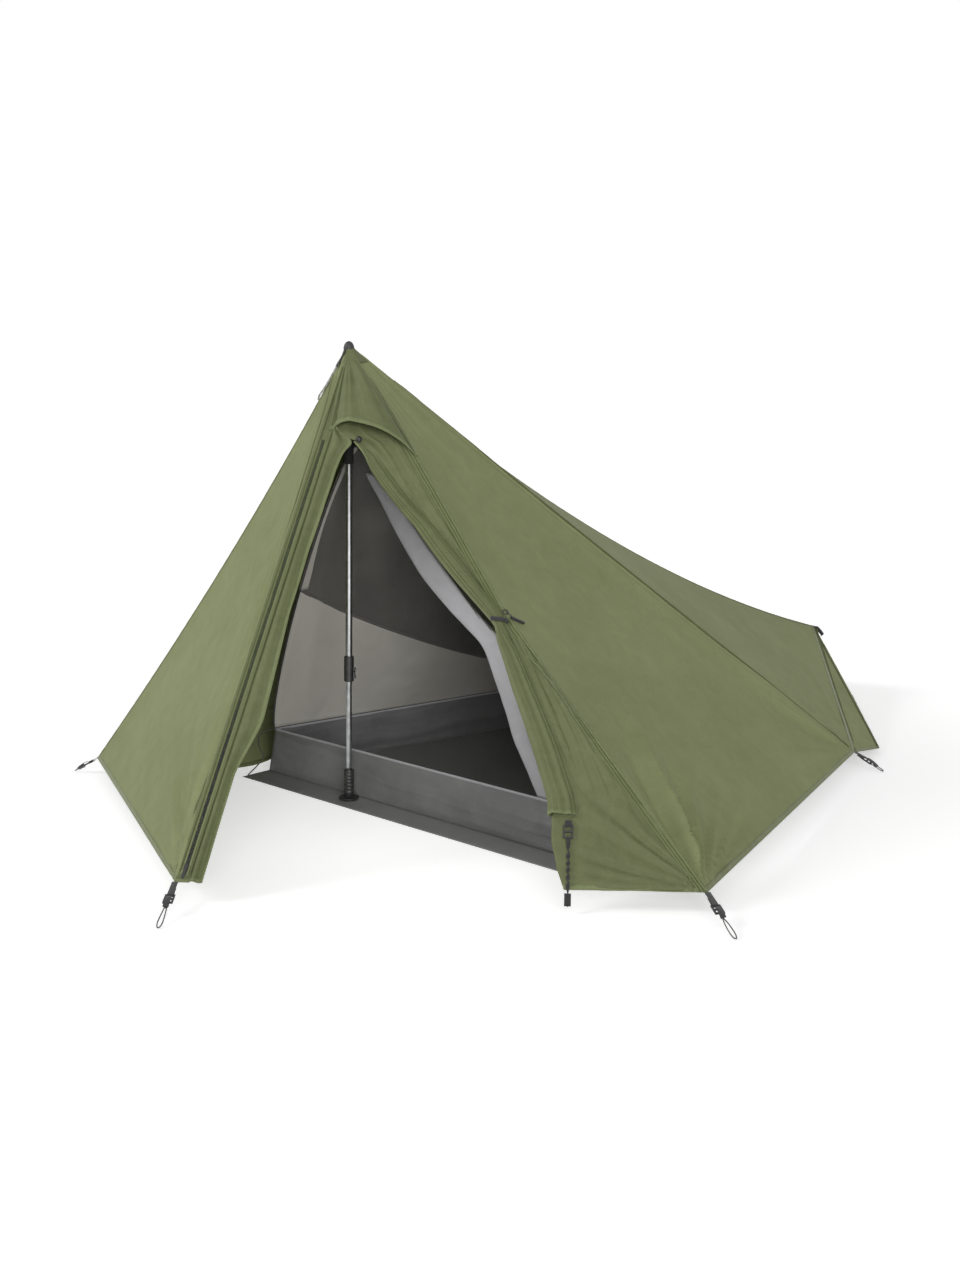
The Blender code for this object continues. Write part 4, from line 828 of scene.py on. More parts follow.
# %% [markdown]
# ## Groundsheet
#
# The tub is heavier coated cloth. Its floor lies on the ground with a few soft rucks, and its front wall
# stands between the corners with long creases along it, which catch the light in streaks. Its top edge
# is bound, and the binding is the pale line in the photograph.

# %% Tub floor and walls
tub_ring = np.array([(-0.726, 0.085), (0.726, 0.085), (0.220, 1.900), (-0.410, 1.900)])
rim_inset, rim_height, foot_inset, foot_height = 0.018, 0.134, 0.00613, 0.0015


def wall_point(index, inset, height):
    """A point above a tub corner, moved in along both walls by the same inset."""
    corner, before, after = tub_ring[index], tub_ring[index - 1], tub_ring[(index + 1) % 4]
    inward = [np.array([-run[1], run[0]]) for run in (unit(corner - before), unit(after - corner))]
    move = (inward[0] + inward[1]) * (inset / (1 + inward[0] @ inward[1]))
    return np.array([*(corner + move), height])


def wall_line(index, inset, height, columns):
    start, end = wall_point(index, inset, height), wall_point((index + 1) % 4, inset, height)
    return start + (end - start) * np.linspace(0, 1, columns)[:, None]


deep = np.concatenate([np.linspace(-0.010, 0.085, 10), np.linspace(0.085, 1.900, 141)[1:]])[:, None]
taper = np.clip((deep - 0.085) / 1.815, 0, 1)
t = np.linspace(0, 1, 110)[None]
gx = (-0.726 + 0.316 * taper) * (1 - t) + (0.726 - 0.506 * taper) * t
gx, gy, gz = np.broadcast_arrays(gx, deep, 0.0012)
ruck = noise(gx * 3.2 + gy * 1.4 + noise(gy * 2.4, 102) * 0.8, 101) + 0.5 * noise(gy * 4.5 - gx * 2, 103)
ruck = 0.0045 * np.clip(ruck, 0, 1) * edge_fade(150, 110, top=0.09, bottom=0.03, left=0.04, right=0.04)
near_pole = np.exp(-((gx + 0.30) ** 2 + (gy - 0.05) ** 2) / 0.003)
floor_sheet = panel("tub_floor_cloth", np.stack([gx, gy, gz], axis=-1), ruck * (1 - near_pole), floor_cloth,
                    "tub_floor", 0.0008)
apron_end = 0.088
# The faces in front of the wall get the lighter apron cloth: painted light on the apron.
floor_sheet.data.materials.append(apron_cloth_painted_light)
apron = [int(face.center.y < apron_end) for face in floor_sheet.data.polygons]
floor_sheet.data.polygons.foreach_set("material_index", apron)
trims = []
for index, (name, columns) in enumerate((("front", 150), ("right", 150), ("foot", 60), ("left", 150))):
    top = wall_line(index, rim_inset, rim_height, columns)
    low = wall_line(index, foot_inset, foot_height, columns)
    grid = top + (low - top) * np.linspace(0, 1, 26)[:, None, None]
    along = np.linalg.norm(grid - grid[:, :1], axis=-1)
    high = grid[..., 2]
    crease = noise(high * 34 + 0.9 * noise(along * 2.6, 111 + index) + along * 1.3, 115 + index)
    crease = 0.0055 * crease + 0.004 * noise(along * 5 + high * 9, 121 + index)
    crease *= edge_fade(*grid.shape[:2], top=0.10, bottom=0.15, left=0.01, right=0.01)
    panel("tub_wall_" + name, grid, crease, tub_cloth, "tub_%s_wall" % name)
    shaped, normal = shapes["tub_wall_" + name]
    trims.append(band(shaped[0] + [0, 0, -0.002], np.array([0, 0, 1.0]), 0.007, 0.0022, normal[0]))
piece("tub_rim_binding", trims, binding_cloth)
print("tub corners", tub_ring.tolist())

# %% [markdown]
# ## Inner tent
#
# Under the fly hangs a lighter tent: grey cloth for the lower walls, black insect net above, and a net
# door that is tied back so that only its pale folded edge shows. The net is knitted, so light comes
# through. Each wall is a ruled grid that is split along its tape.

# %% Inner walls
peak = np.array([-0.300, 0.078, 1.050])
foot_top = np.array([-0.095, 1.860, 0.215])
base_height = rim_height + 0.0003 + 0.0006
front_l, front_r, foot_r, foot_l = [wall_point(i, rim_inset, base_height) for i in range(4)]
inner_trims, hips = [], []


def bellied(points, s, belly):
    """Moves the front of a wall outward between its top and its foot, where it hangs slack."""
    high = np.clip((points[..., 2] - base_height) / (peak[2] - base_height), 0, 1)
    return points + ((4 * high * (1 - high)) ** 0.6 * (1 - fade(s, 0, 0.3)))[..., None] * np.array(belly)


def side_wall(name, front, foot, nodes, seed, belly=(0, 0, 0)):
    """A side of the inner tent: cloth below its tape and net above it, with tapes and hip cloth."""
    s = np.linspace(0, 1, 80)[:, None]
    base = front + (foot - front) * s
    top = peak + (foot_top - peak) * s
    tape = base + (top - base) * (0.20 + 0.30 * (1 - np.minimum(s / 0.55, 1)) ** 1.15)
    for part, lower, upper, cloth, count, node in (("_cloth", base, tape, inner_cloth, 30, nodes[0]),
                                                   ("_net", tape, top, net, 40, nodes[-1])):
        t = np.linspace(0, 1, count)
        lift = 0.006 * noise(s * 7 + 0.6 * noise(t * 3, seed)[None], seed + 1)
        lift = lift + 0.012 * (1 - fade(s, 0.0, 0.25)) * noise(s * 26 + t[None], seed + 2)
        lift = lift * edge_fade(80, count, top=0.04, bottom=0.04, left=0.08, right=0.08)
        panel(name + part, bellied(between(lower, upper, t), s, belly), lift, cloth, node, 0.0007)
    shaped, normal = shapes[name + "_net"]
    inner_trims.append(band(shaped[:, 0], np.gradient(shaped, axis=1)[:, 0], 0.011, 0.0022, normal[:, 0]))
    inner_trims.append(band(shaped[0, :], np.gradient(shaped, axis=0)[0], 0.008, 0.0020, normal[0]))
    inner_trims.append(band(base, top - base, 0.008, 0.0024, shapes[name + "_cloth"][1][:, 0]))
    up = np.linspace(0, 1, 40)[:, None]
    hip = bellied(tape[0] + (top[0] - tape[0]) * up, np.zeros(40), belly)
    inward = unit(foot - front)
    hips.append(band(hip + inward * (0.024 - 0.016 * up) - normal[0, 0] * 0.0022, inward,
                     0.048 - 0.032 * up[:, 0], 0.0010, normal[0, 0]))


left_belly = (-0.046, -0.018, 0)
side_wall("inner_left", front_l, foot_l, ["inner_left_wall", "inner_left_mesh"], 131, left_belly)
side_wall("inner_right", front_r, foot_r, ["inner_right_wall"], 141)
t = np.linspace(0, 1, 40)[:, None, None]
s = np.linspace(0, 1, 24)[None, :, None] * 0.9
grid = (foot_r + (foot_l - foot_r) * t) * (1 - s) + foot_top * s
lift = 0.004 * noise(t[..., 0] * 6 + s[..., 0], 151) * edge_fade(40, 24, 0.06, 0.06, 0.08, 0.08)
panel("inner_foot", grid, lift, inner_cloth, "inner_foot_wall", 0.0007)
piece("inner_tapes", inner_trims, webbing("woven_tape_grey", "4A4946", "6E6C67", 0.0016))
piece("inner_hip_cloth", hips, inner_cloth)
print("inner tapes", len(inner_trims))

# %% Net door and its folded edge
door_edges = ((0.925, 0.60), (0.854, 0.70), (0.749, 0.73), (0.652, 0.77), (0.563, 0.85), (0.500, 0.91),
              (0.400, 0.86), (0.264, 0.805), (0.128, 0.786))
edge_widths = ((0.925, 0.8), (0.80, 2.5), (0.65, 3.5), (0.55, 3.3), (0.50, 2.8), (0.42, 2.3), (0.35, 2.0),
               (0.128, 1.5))
width_unit = 0.036
levels = np.linspace(peak[2] * 0.925, base_height + 0.0024, 90)
fall = ((peak[2] - levels) / (peak[2] - front_l[2]))[:, None]
left_hip, right_hip = peak + (front_l - peak) * fall, peak + (front_r - peak) * fall
edge = left_hip + (right_hip - left_hip) * table(door_edges, levels / peak[2])[:, None]
turn = edge + unit(right_hip - edge) * (table(edge_widths, levels / peak[2])[:, None] * width_unit)
front_normal = unit(np.cross(front_r - peak, front_l - peak))
front_normal = -front_normal if front_normal[1] > 0 else front_normal
t = np.linspace(0, 1, 14)
puff = np.sin(math.pi * t)[None] ** 0.6 * 0.007 + 0.0012 * noise(levels[:, None] * 30 + t[None] * 2, 161)
puff = puff * (0.4 + 0.6 * edge_fade(90, 14, 0.05, 0.05, 0, 0))
panel("inner_door_edge", between(edge, turn, t), puff, binding_cloth, "inner_door_binding", 0.0008)
t = np.linspace(0, 1, 30)
lift = 0.004 * noise(levels[:, None] * 10 + t[None] * 4, 163) * edge_fade(90, 30, 0.06, 0.06, 0.1, 0.1)
panel("inner_net_door", between(turn, right_hip, t), lift, net, "inner_mesh_door", 0.0006)
left_hip = bellied(left_hip, np.zeros(len(left_hip)), left_belly)
piece("inner_hip_binding", [band(left_hip, right_hip - left_hip, 0.0065, 0.0022, front_normal)],
      black_webbing)
print("net door rows", len(levels))

# %% [markdown]
# ## Trekking pole
#
# The pole stands upside down: its foam grip is in the cup at the apex, and its tip is on the apron. All
# its parts are turned about one upright axis, so each is a profile on a lathe, with small radii at the
# edges. The sleeve and the grip have moulded ribs, and the basket is a ring with a raised rim.

# %% Pole parts
pole, sharp_degrees = np.array([-0.300, 0.050]), 40


def turned(name, profile, cloth, node, body="tent"):
    made = make_mesh(name, [lathe(profile, pole)], cloth)
    made.modifiers.new("edges", 'EDGE_SPLIT').split_angle = math.radians(sharp_degrees)
    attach(made, body)
    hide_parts(node)


grip_ribs, grip_pitch, sleeve_ribs, sleeve_pitch = 12, 0.012, 6, 0.010
grip = [(0, 1.2968), (0.0118, 1.2968), (0.0138, 1.2945)]
for step in range(grip_ribs):
    z = 1.288 - step * grip_pitch
    grip += [(0.0152, z), (0.0153, z - 0.0075), (0.0142, z - 0.0092), (0.0142, z - 0.0104)]
grip += [(0.0146, 1.120), (0.0140, 1.062), (0.0150, 1.052), (0.0150, 1.046), (0.0138, 1.043), (0.0138, 1.002),
         (0.0130, 0.998), (0.0103, 0.997), (0.0103, 1.2680), (0, 1.2680)]
turned("pole_grip_foam", grip, grip_foam, "pole_grip")
turned("pole_tube_upper", [(0.0100, 1.2680), (0.0100, 0.359), (0.0097, 0.3582), (0.0088, 0.3582),
                           (0.0088, 1.2680)], pole_metal, "pole_upper_tube")
turned("pole_tube_lower", [(0.0085, 0.502), (0.0085, 0.0310), (0.0080, 0.0304), (0.0073, 0.0304),
                           (0.0073, 0.502)], pole_metal, "pole_lower_tube", "lower_pole")
sleeve = [(0.0088, 0.0905), (0.0145, 0.0905), (0.0155, 0.0893), (0.0155, 0.0862)]
for step in range(sleeve_ribs):
    z = 0.0850 - step * sleeve_pitch
    sleeve += [(0.0143, z), (0.0143, z - 0.0062), (0.0151, z - 0.0072), (0.0151, z - 0.0090)]
sleeve += [(0.0143, 0.0230), (0.0143, 0.0132), (0.0138, 0.0126), (0.0060, 0.0125), (0.0060, 0.0053),
           (0, 0.0053), (0, 0.0300), (0.0088, 0.0300)]
turned("pole_sleeve", sleeve, black_plastic, "pole_tip_sleeve", "lower_pole")
basket = [(0.0063, 0.0121), (0.0150, 0.0121), (0.0170, 0.0112), (0.0262, 0.0098), (0.0282, 0.0104),
          (0.0294, 0.0096), (0.0295, 0.0078), (0.0288, 0.0069), (0.0063, 0.0069)]
turned("pole_mud_basket", basket, black_plastic, "pole_basket", "lower_pole")
print("pole turned parts 5")

# %% [markdown]
# ## Seams, hems and stitches
# Hems are turned twice and sewn with two rows. The seam beside the door is felled, so it shows as three
# fine ribs, and a narrow puckered seam runs down each side panel, in a darker cloth whose colour is
# painted shade of the crease there. A stitch is a small rod that repeats along a line, so Geometry Nodes
# set it: lines go in as edges that carry the direction of each rod, and come out as one plain mesh. The
# rods are 4 mm long, a little coarser than a real stitch, to show.

# %% Repeat along lines with Geometry Nodes
def repeat_tree():
    tree = bpy.data.node_groups.new("repeat_along_lines", 'GeometryNodeTree')
    for name, kind in (("Geometry", "Geometry"), ("Pitch", "Float"), ("Rod Length", "Float"),
                       ("Rod Radius", "Float"), ("Finish", "Material")):
        tree.interface.new_socket(name, in_out='INPUT', socket_type="NodeSocket" + kind)
    tree.interface.new_socket("Geometry", in_out='OUTPUT', socket_type='NodeSocketGeometry')
    given, out = tree.nodes.new("NodeGroupInput").outputs, tree.nodes.new("NodeGroupOutput")
    lines = add(tree, "GeometryNodeMeshToCurve", Mesh=given["Geometry"])
    even_lines = add(tree, "GeometryNodeResampleCurve", {"mode": 'LENGTH'}, Curve=lines.outputs[0],
                     Length=given["Pitch"])
    rod = add(tree, "GeometryNodeMeshCylinder", Vertices=5, Radius=given["Rod Radius"],
              Depth=given["Rod Length"])
    axis = add(tree, "GeometryNodeInputNamedAttribute", {"data_type": 'FLOAT_VECTOR'}, Name="rod_axis")
    turn = add(tree, "FunctionNodeAlignRotationToVector", {"axis": 'Z'}, Vector=axis.outputs[0])
    set_rods = add(tree, "GeometryNodeInstanceOnPoints", Points=even_lines.outputs[0],
                   Instance=rod.outputs["Mesh"], Rotation=turn.outputs[0])
    real = add(tree, "GeometryNodeRealizeInstances", Geometry=set_rods.outputs[0])
    dressed = add(tree, "GeometryNodeSetMaterial", Geometry=real.outputs[0], Material=given["Finish"])
    tree.links.new(dressed.outputs[0], out.inputs[0])
    return tree


def repeat(name, lines, axes, material, pitch=0.0075, length=0.0042, radius=0.0005):
    """Sets rods along lines (arrays of points), each rod lying along its line's axes."""
    edges, start = [], 0
    for line in lines:
        edges += [(start + i, start + i + 1) for i in range(len(line) - 1)]
        start += len(line)
    mesh = bpy.data.meshes.new(name)
    mesh.from_pydata(np.concatenate(lines).tolist(), edges, [])
    directions = np.concatenate([np.broadcast_to(a, np.shape(l)) for a, l in zip(axes, lines)])
    axis_data = mesh.attributes.new("rod_axis", 'FLOAT_VECTOR', 'POINT').data
    axis_data.foreach_set("vector", directions.astype(np.float32).ravel())
    source = into_scene(name + "_lines", mesh)
    modifier = source.modifiers.new("repeat", 'NODES')
    modifier.node_group = rods_tree
    values = {"Pitch": pitch, "Rod Length": length, "Rod Radius": radius, "Finish": material}
    for item in rods_tree.interface.items_tree:
        if item.name in values:
            modifier[item.identifier] = values[item.name]
    evaluated = source.evaluated_get(bpy.context.evaluated_depsgraph_get())
    plain = bpy.data.meshes.new_from_object(evaluated)
    bpy.data.objects.remove(source)
    plain.name = name
    plain.polygons.foreach_set("use_smooth", [True] * len(plain.polygons))
    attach(into_scene(name, plain), "tent")
    print(name, len(plain.polygons), "faces")


rods_tree = repeat_tree()

# %% Hems and seams of the fly
thread = moulded("polyester_thread", "4F5637", "6C744C", 0.7, 0.0008)
hem_cloth = woven("coated_ripstop_nylon_hem", "555B39", "687047", "787F56", 0.006, 40.0, 0.6, 0.15)
hem_parts, rib_parts, seam_parts, stitch_lines, stitch_axes = [], [], [], [], []


def stitch(line):
    stitch_lines.append(line)
    stitch_axes.append(unit(np.gradient(line, axis=0)))


def edge_of(name, side):
    """An edge of a panel, the way in from it along the cloth, and its normals."""
    edge, inner = {"bottom": np.s_[-1, -5], "left": (np.s_[:, 0], np.s_[:, 4]),
                   "right": (np.s_[:, -1], np.s_[:, -5])}[side]
    shaped, normal = shapes[name]
    return shaped[edge], unit(shaped[inner] - shaped[edge]), normal[edge]


def hem(name, side, width=0.014, thick=0.0026, trim=slice(None), parts=hem_parts):
    edge, inward, normal = (part[trim] for part in edge_of(name, side))
    parts.append(band(edge + inward * (width / 2 - 0.0004) - normal * 0.0001, inward, width, thick, normal))
    for offset in (0.0022, width - 0.0022):
        stitch(edge + inward * offset + normal * (thick / 2 - 0.0003))


def ribs(name, side, offsets, radius=0.0013, sewn=(), trim=slice(None), parts=rib_parts):
    edge, inward, normal = (part[trim] for part in edge_of(name, side))
    pucker = 1 + 0.35 * noise(lengths_along(edge) * 55, 171)
    for offset in offsets:
        parts.append(tube(edge + inward * offset + normal * radius * 0.3, radius * pucker, 6))
    for offset in sewn:
        stitch(edge + inward * offset + normal * 0.0004)


for name in ("front_left", "right_side", "left_side", "foot_end", "foot_gusset", "door_side"):
    hem("fly_" + name, "bottom")
hem("fly_storm_flap", "bottom", 0.010)
hem("fly_storm_flap", "right", 0.011)
hem("fly_door_roll", "right", 0.010)
hem("fly_door_roll", "bottom", 0.010)
hem("fly_vent_hood", "bottom", 0.015, 0.0032)
low = slice(12, None)
hem("fly_door_side", "left", 0.020, 0.0024, low, seam_parts)
for offset, radius in ((0.0185, 0.0019), (0.0005, 0.0023), (0.0095, 0.0019)):
    ribs("fly_door_side", "left", (offset,), radius, trim=low)
ribs("fly_right_side", "left", (0.0085,), 0.0014, trim=low)
ribs("fly_right_side", "right", (0.002,), sewn=(0.007, 0.012), trim=low)
ribs("fly_front_left", "left", (0.002,), sewn=(0.007, 0.012), trim=low)
ribs("fly_front_left", "right", (0.024,), 0.0022, (0.006, 0.030), low)
for name, side in (("fly_foot_gusset", "left"), ("fly_foot_gusset", "right"), ("fly_foot_end", "right")):
    ribs(name, side, (0.002, 0.012), sewn=(0.007,), parts=seam_parts)
for side in ("left", "right"):
    ribs("fly_vent_hood", side, (0.002,), 0.0018, (0.007,))
# A puckered band down each side panel's crease, in the darker seam cloth: a seam, with painted shade of the
# crease in its colour.
for name, column in (("fly_right_side", right_counts[0]), ("fly_left_side", left_counts[0])):
    before, line, after = (shapes[name][0][14:-2, column + move] for move in (-1, 0, 1))
    out = shapes[name][1][14:-2, column]
    run = lengths_along(line)
    wide = 0.009 * (1 + 0.25 * noise(run * 30, 172)) * (0.4 + 0.6 * fade(run, 0, 0.5))
    seam_parts.append(band(line - out * 0.0002, unit(after - before), wide, 0.0024, out))
piece("fly_hems", hem_parts, hem_cloth)
piece("fly_seam_ribs", rib_parts, hem_cloth)
piece("fly_seam_band", seam_parts, seam_cloth_painted_shade)
repeat("fly_stitches", stitch_lines, stitch_axes, thread)

# %% Apex patch
flat = np.array([1, 1, 0])
apex_foot = apex * flat
cap_reach, cap_top, strap_low_end, patch_end = 0.0158, 1.3405, 1.290, 1.2985


def apex_ring(height):
    """The fly's outline at a height near the apex, rounded to the cap's own size at the top."""
    lines = [curve(np.linspace(0, 0.15, 200)) for curve in (left_seam, zip_fold, straight_right, right_crease,
                                                            ridge, left_crease)]
    places = [np.array([*(np.interp(-height, -line[:, 2], line[:, axis]) for axis in (0, 1)), 0]) - apex_foot
              for line in lines]
    ring = np.array([one + (two - one) * t for one, two in zip(places, places[1:] + places[:1])
                     for t in np.arange(8) / 8])
    far = np.linalg.norm(ring[:, :2], axis=1, keepdims=True)
    ring[:, :2] *= ((far + 0.0026) ** 6 + cap_reach ** 6) ** (1 / 6) / far
    ring[:, 2] = height
    return ring + apex_foot


rings = np.array([apex_ring(height) for height in np.linspace(cap_top, strap_low_end, 16)])
pucker = noise(np.arange(rings.shape[1]) * 0.55, 97)
rings += unit(rings - [apex[0], apex[1], 1.30]) * (0.0012 * pucker)[None, :, None]
heights = rings[:, 0, 2]
drawn = rings[heights > patch_end]
patch = loft(drawn[:, ::-1], np.arange(rings.shape[1]) * 0.003, caps=False)
apex_patch = make_mesh("fly_apex_patch", [patch], flap_cloth_painted_shade)
thicken(apex_patch, 0.0010)
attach(apex_patch, "tent")
strap_path = []
for height, turn in ((1.3392, -80), (1.330, -92), (1.318, -112), (1.304, -130), (1.2915, -143)):
    ring = rings[np.abs(heights - height).argmin()] - apex_foot
    spoke = np.array([math.cos(math.radians(turn)), math.sin(math.radians(turn)), 0])
    nearest = ring[(unit(ring * flat) @ spoke).argmax()] * flat
    strap_path.append(nearest + unit(nearest) * 0.0021 + [apex[0], apex[1], height])
strap_path = smooth_path(strap_path + [np.array(guy_route[0]) + unit(face_out) * 0.0022], 5)
strap_across = np.cross(np.gradient(strap_path, axis=0), face_out)
piece("apex_webbing", [band(strap_path, strap_across, 0.0115, 0.0030)], black_webbing, "apex_guy_strap")
stitch_ring = drawn[-2] + unit(drawn[-2] - [apex[0], apex[1], 1.2]) * 0.0006
around = [*range(len(stitch_ring)), 0]
repeat("fly_apex_stitches", [stitch_ring[around]], [unit(np.gradient(stitch_ring, axis=0))[around]], thread)

# %% Zip
fold_along = unit(apex - door_stake)
fold_across = unit(np.cross(fold_along, door_normal))
if fold_across @ (right_wing - door_stake) < 0:
    fold_across = -fold_across


tape_inset = 0.016


def tape_place(height, lift, inset=tape_inset):
    """Points at heights along the zip fold, moved in along the cloth and lifted off it."""
    return zip_fold(share_at(np.atleast_1d(height), door_stake)) + fold_across * inset + door_normal * lift


zip_gap, tape_lift, coil_lift, welt_aside = 0.0003, 0.0007, 0.0014, 0.0135
tape_line = tape_place(np.linspace(1.085, 0.066, 160), zip_gap + tape_lift)
piece("zip_tape", [band(tape_line, fold_across, 0.020, 0.0012, door_normal)], hem_cloth, "door_zip_tape")
# The coil and its bed are their own black low down and turn dark green above about 0.4 m: that green is
# painted shade of the groove that hides the coil.
zip_finish, tree, shader = finish("coil_zip_nylon", Roughness=0.45)
height_now = add(tree, "ShaderNodeSeparateXYZ", i0=coordinates(tree, "Object")).outputs["Z"]
set_colour(tree, shader, height_now, (0.36, "191A1B"), (0.46, "3A4129"))
coil = tape_place(np.linspace(1.083, 0.068, 160), zip_gap + coil_lift)
repeat("zip_coil", [coil], [fold_across], zip_finish, pitch=0.0022, length=0.0062, radius=0.0008)
bed = band(coil - door_normal * 0.0005, fold_across, 0.0105, 0.0008, door_normal)
piece("zip_coil_bed", [bed], zip_finish)
welt_heights = np.linspace(1.285, 0.075, 200)
swell = 0.0044 * (1 + 0.22 * noise(welt_heights * 14, 99)) * (0.45 + 0.55 * fade(1.29 - welt_heights, 0, 0.2))
swell *= 0.55 + 0.45 * fade(welt_heights, 0.08, 0.30)
welts = [tube(tape_place(welt_heights, 0.0016, tape_inset + aside), swell, 10)
         for aside in (-welt_aside, welt_aside)]
piece("fly_zip_welts", welts, flap_cloth_painted_shade)

# %% [markdown]
# ## Straps, loops and the tie-back
#
# Each stake-out is a webbing strap sewn under its corner, led through a ladder lock and folded back,
# with a loop of cord for the stake. The lock and the loop turn together on the strap. The tie-back band
# goes right round the gathered door, so its path is taken from the roll's own section.

# %% Stake-outs
webbing_width, bar_reach, hinge_share, lock_length = 0.0155, 0.0029, 0.30, 0.030


def round_bar(hinge, along, normal):
    """A strap's way round the bar of a ladder lock."""
    nose, lift = along * bar_reach, normal * bar_reach
    return [hinge - nose + lift, hinge + nose + lift, hinge + nose - lift, hinge - nose - lift]


def stake_out(name, corner, degrees, reach, clear=0.0):
    """A strap from a corner to its ladder lock, and the lock's loop out to the stake at that reach."""
    heading = math.radians(degrees)
    toward = np.array([math.cos(heading), math.sin(heading), 0])
    end = corner * flat + toward * reach + np.array([0, 0, 0.004])
    along = unit(end - corner)
    across = unit(np.cross(along, [0, 0, 1]))
    normal = unit(np.cross(across, along))
    hinge = corner + along * (np.linalg.norm(end - corner) * hinge_share)
    path = [corner + along * clear + normal * 0.0006, *round_bar(hinge, along, normal),
            hinge + (corner - hinge) * 0.60 - normal * bar_reach * 0.60]
    fine = [path[0] + (path[1] - path[0]) * t for t in np.linspace(0, 0.96, 12)]
    for one, two, three in zip(path, path[1:], path[2:]):
        fine += [two + unit(one - two) * 0.0008, two + unit(three - two) * 0.0008]
    fine += [path[-2] + (path[-1] - path[-2]) * t for t in np.linspace(0.2, 1, 6)]
    piece(name + "_webbing", [band(np.array(fine), across, webbing_width, 0.0014)], black_webbing,
          name + "_strap")
    far_bar = hinge + along * lock_length
    high, side, back = normal * 0.0037, across * 0.0060, along * 0.0037
    tip = end - along * 0.0014
    near = far_bar + (tip - far_bar) * 0.80
    waist = (far_bar + near) / 2
    loop = [far_bar - back, far_bar - back + high, far_bar + back + high, waist + side * 0.70, near + side,
            tip + side * 0.5, tip - side * 0.5, near - side, waist - side * 0.70, far_bar + back - high,
            far_bar - back - high]
    loop = smooth_path(loop + loop[:1], 5)[:-1]
    turns = np.linspace(0, 3 * math.tau, 40)[:, None]
    knot = far_bar + along * (0.009 + 0.0085 * turns / turns[-1])
    knot = knot + across * 0.0040 * np.cos(turns) + normal * 0.0036 * np.sin(turns)
    piece(name + "_cord_loop", [tube(loop, 0.0016, 8, closed=True), tube(knot, 0.0015, 8)], loop_cord,
          name + "_stake_loop", name + "_lock")
    spare = smooth_path([hinge + along * out + normal * up for out, up in (
        (0.0125, 0.0062), (0.020, 0.0072), (0.034, 0.0066), (0.052, 0.0030))], 5)
    piece(name + "_webbing_end", [band(spare, across, 0.0150, 0.0013)], black_webbing, None, name + "_lock")


stakes = (("left_wing", left_wing, 205, 0.080), ("door", door_stake, -49, 0.180),
          ("right_wing", right_wing, -33, 0.180), ("right_side", right_side, 8, 0.095, 0.0014),
          ("left_side", left_side, 172, 0.095, 0.0014))
for stake in stakes:
    stake_out(*stake)
print("stake-outs", len(stakes))

# %% Door corner tail and foot tab
corner_top, corner_low = door_place((0.140, 0.012), (0.803, 0.728), 0.0045)
along = unit(corner_low - corner_top)
across = unit(np.cross(along, door_normal))
outward = unit(np.cross(across, along))
lock_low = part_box("door_corner_lock")[0][2]
start = corner_top + along * (corner_top[2] - (lock_low + 0.004)) / -along[2]
steps = np.linspace(0, 1, 60)[:, None]
turning = 5.5 * math.pi * fade(steps, 0.05, 0.86)
twisted = across * np.cos(turning) + outward * np.sin(turning)
tail_tab = smooth_path([corner_low - along * back + outward * out
                        for back, out in ((0.030, 0.0022), (0.015, 0.0030), (0, 0.0016))], 4)
piece("door_corner_webbing_tail", [band(start + (corner_low - start) * steps, twisted, 0.0100, 0.0018),
                                   band(tail_tab, across, 0.0165, 0.0030)],
      black_webbing, "door_corner_tail", "door_corner")
hinge = corner_top + along * 0.014
strap_loop = smooth_path([corner_top - door_normal * 0.0033, *round_bar(hinge, along, outward),
                          hinge + (corner_top - hinge) * 0.30 - outward * bar_reach * 0.60], 4)
piece("door_corner_webbing", [band(strap_loop, across, webbing_width, 0.0012)], black_webbing,
      "door_corner_strap")

tab_out, up = unit(np.array([1.0, 1.0, 0])), np.array([0, 0, 1])
steps = np.linspace(0, 1, 16)[:, None]
tab_start = foot_peak + tab_out * 0.0006 + up * 0.0003
tab_line = tab_start + (tab_out - up) * 0.035 * steps + up * 0.005 * 4 * steps * (1 - steps)
turning = 1.35 * fade(steps, 0, 0.4)
tab_turn = np.cross(tab_out, up) * np.cos(turning) + unit(tab_out + up) * np.sin(turning)
piece("foot_peak_webbing", [band(tab_line, tab_turn, 0.0135, 0.0028)], black_webbing, "foot_peak_tab")
print("door corner tail", round(float(np.linalg.norm(corner_low - start)), 3), "m")

# %% Tie-back band
def squared(wave):
    """Makes a round section nearly a rectangle."""
    return np.sign(wave) * np.abs(wave) ** 0.55


share = 0.466
row = round((roll_top - share) / (roll_top - roll_end) * (roll_rows - 1))
ring_points = shapes["fly_door_roll"][0][row]
at = door_place(share, table(gather_start, share, 0.006))[0]
to = door_place(share, table(gather_edge, share))[0]
axis_x = unit(to - at)
flat_x, flat_z = (ring_points - at) @ axis_x, (ring_points - at) @ door_normal
low_x, high_x = min(flat_x.min(), -0.012), flat_x.max()
low_z, high_z = flat_z.min() - 0.0016, flat_z.max() + 0.0016
angle = np.linspace(0, math.tau, 49)[:-1, None]
oval_x = (low_x + high_x) / 2 + ((high_x - low_x) / 2 + 0.0018) * squared(np.cos(angle))
oval_z = (low_z + high_z) / 2 + (high_z - low_z) / 2 * squared(np.sin(angle))
run = unit(np.cross(axis_x, door_normal))
loop = at + oval_x * axis_x + oval_z * door_normal + run * (0.004 * np.cos(angle))
outward = unit(np.cross(np.roll(loop, -1, 0) - np.roll(loop, 1, 0), run))
outward = outward * np.sign((outward * (loop - loop.mean(0))).sum())
rings = [loop + run * offset + outward * lift for offset, lift in (
    (-0.0062, -0.0004), (-0.0058, 0.0014), (0, 0.0026), (0.0058, 0.0014), (0.0062, -0.0004), (0, -0.0006))]
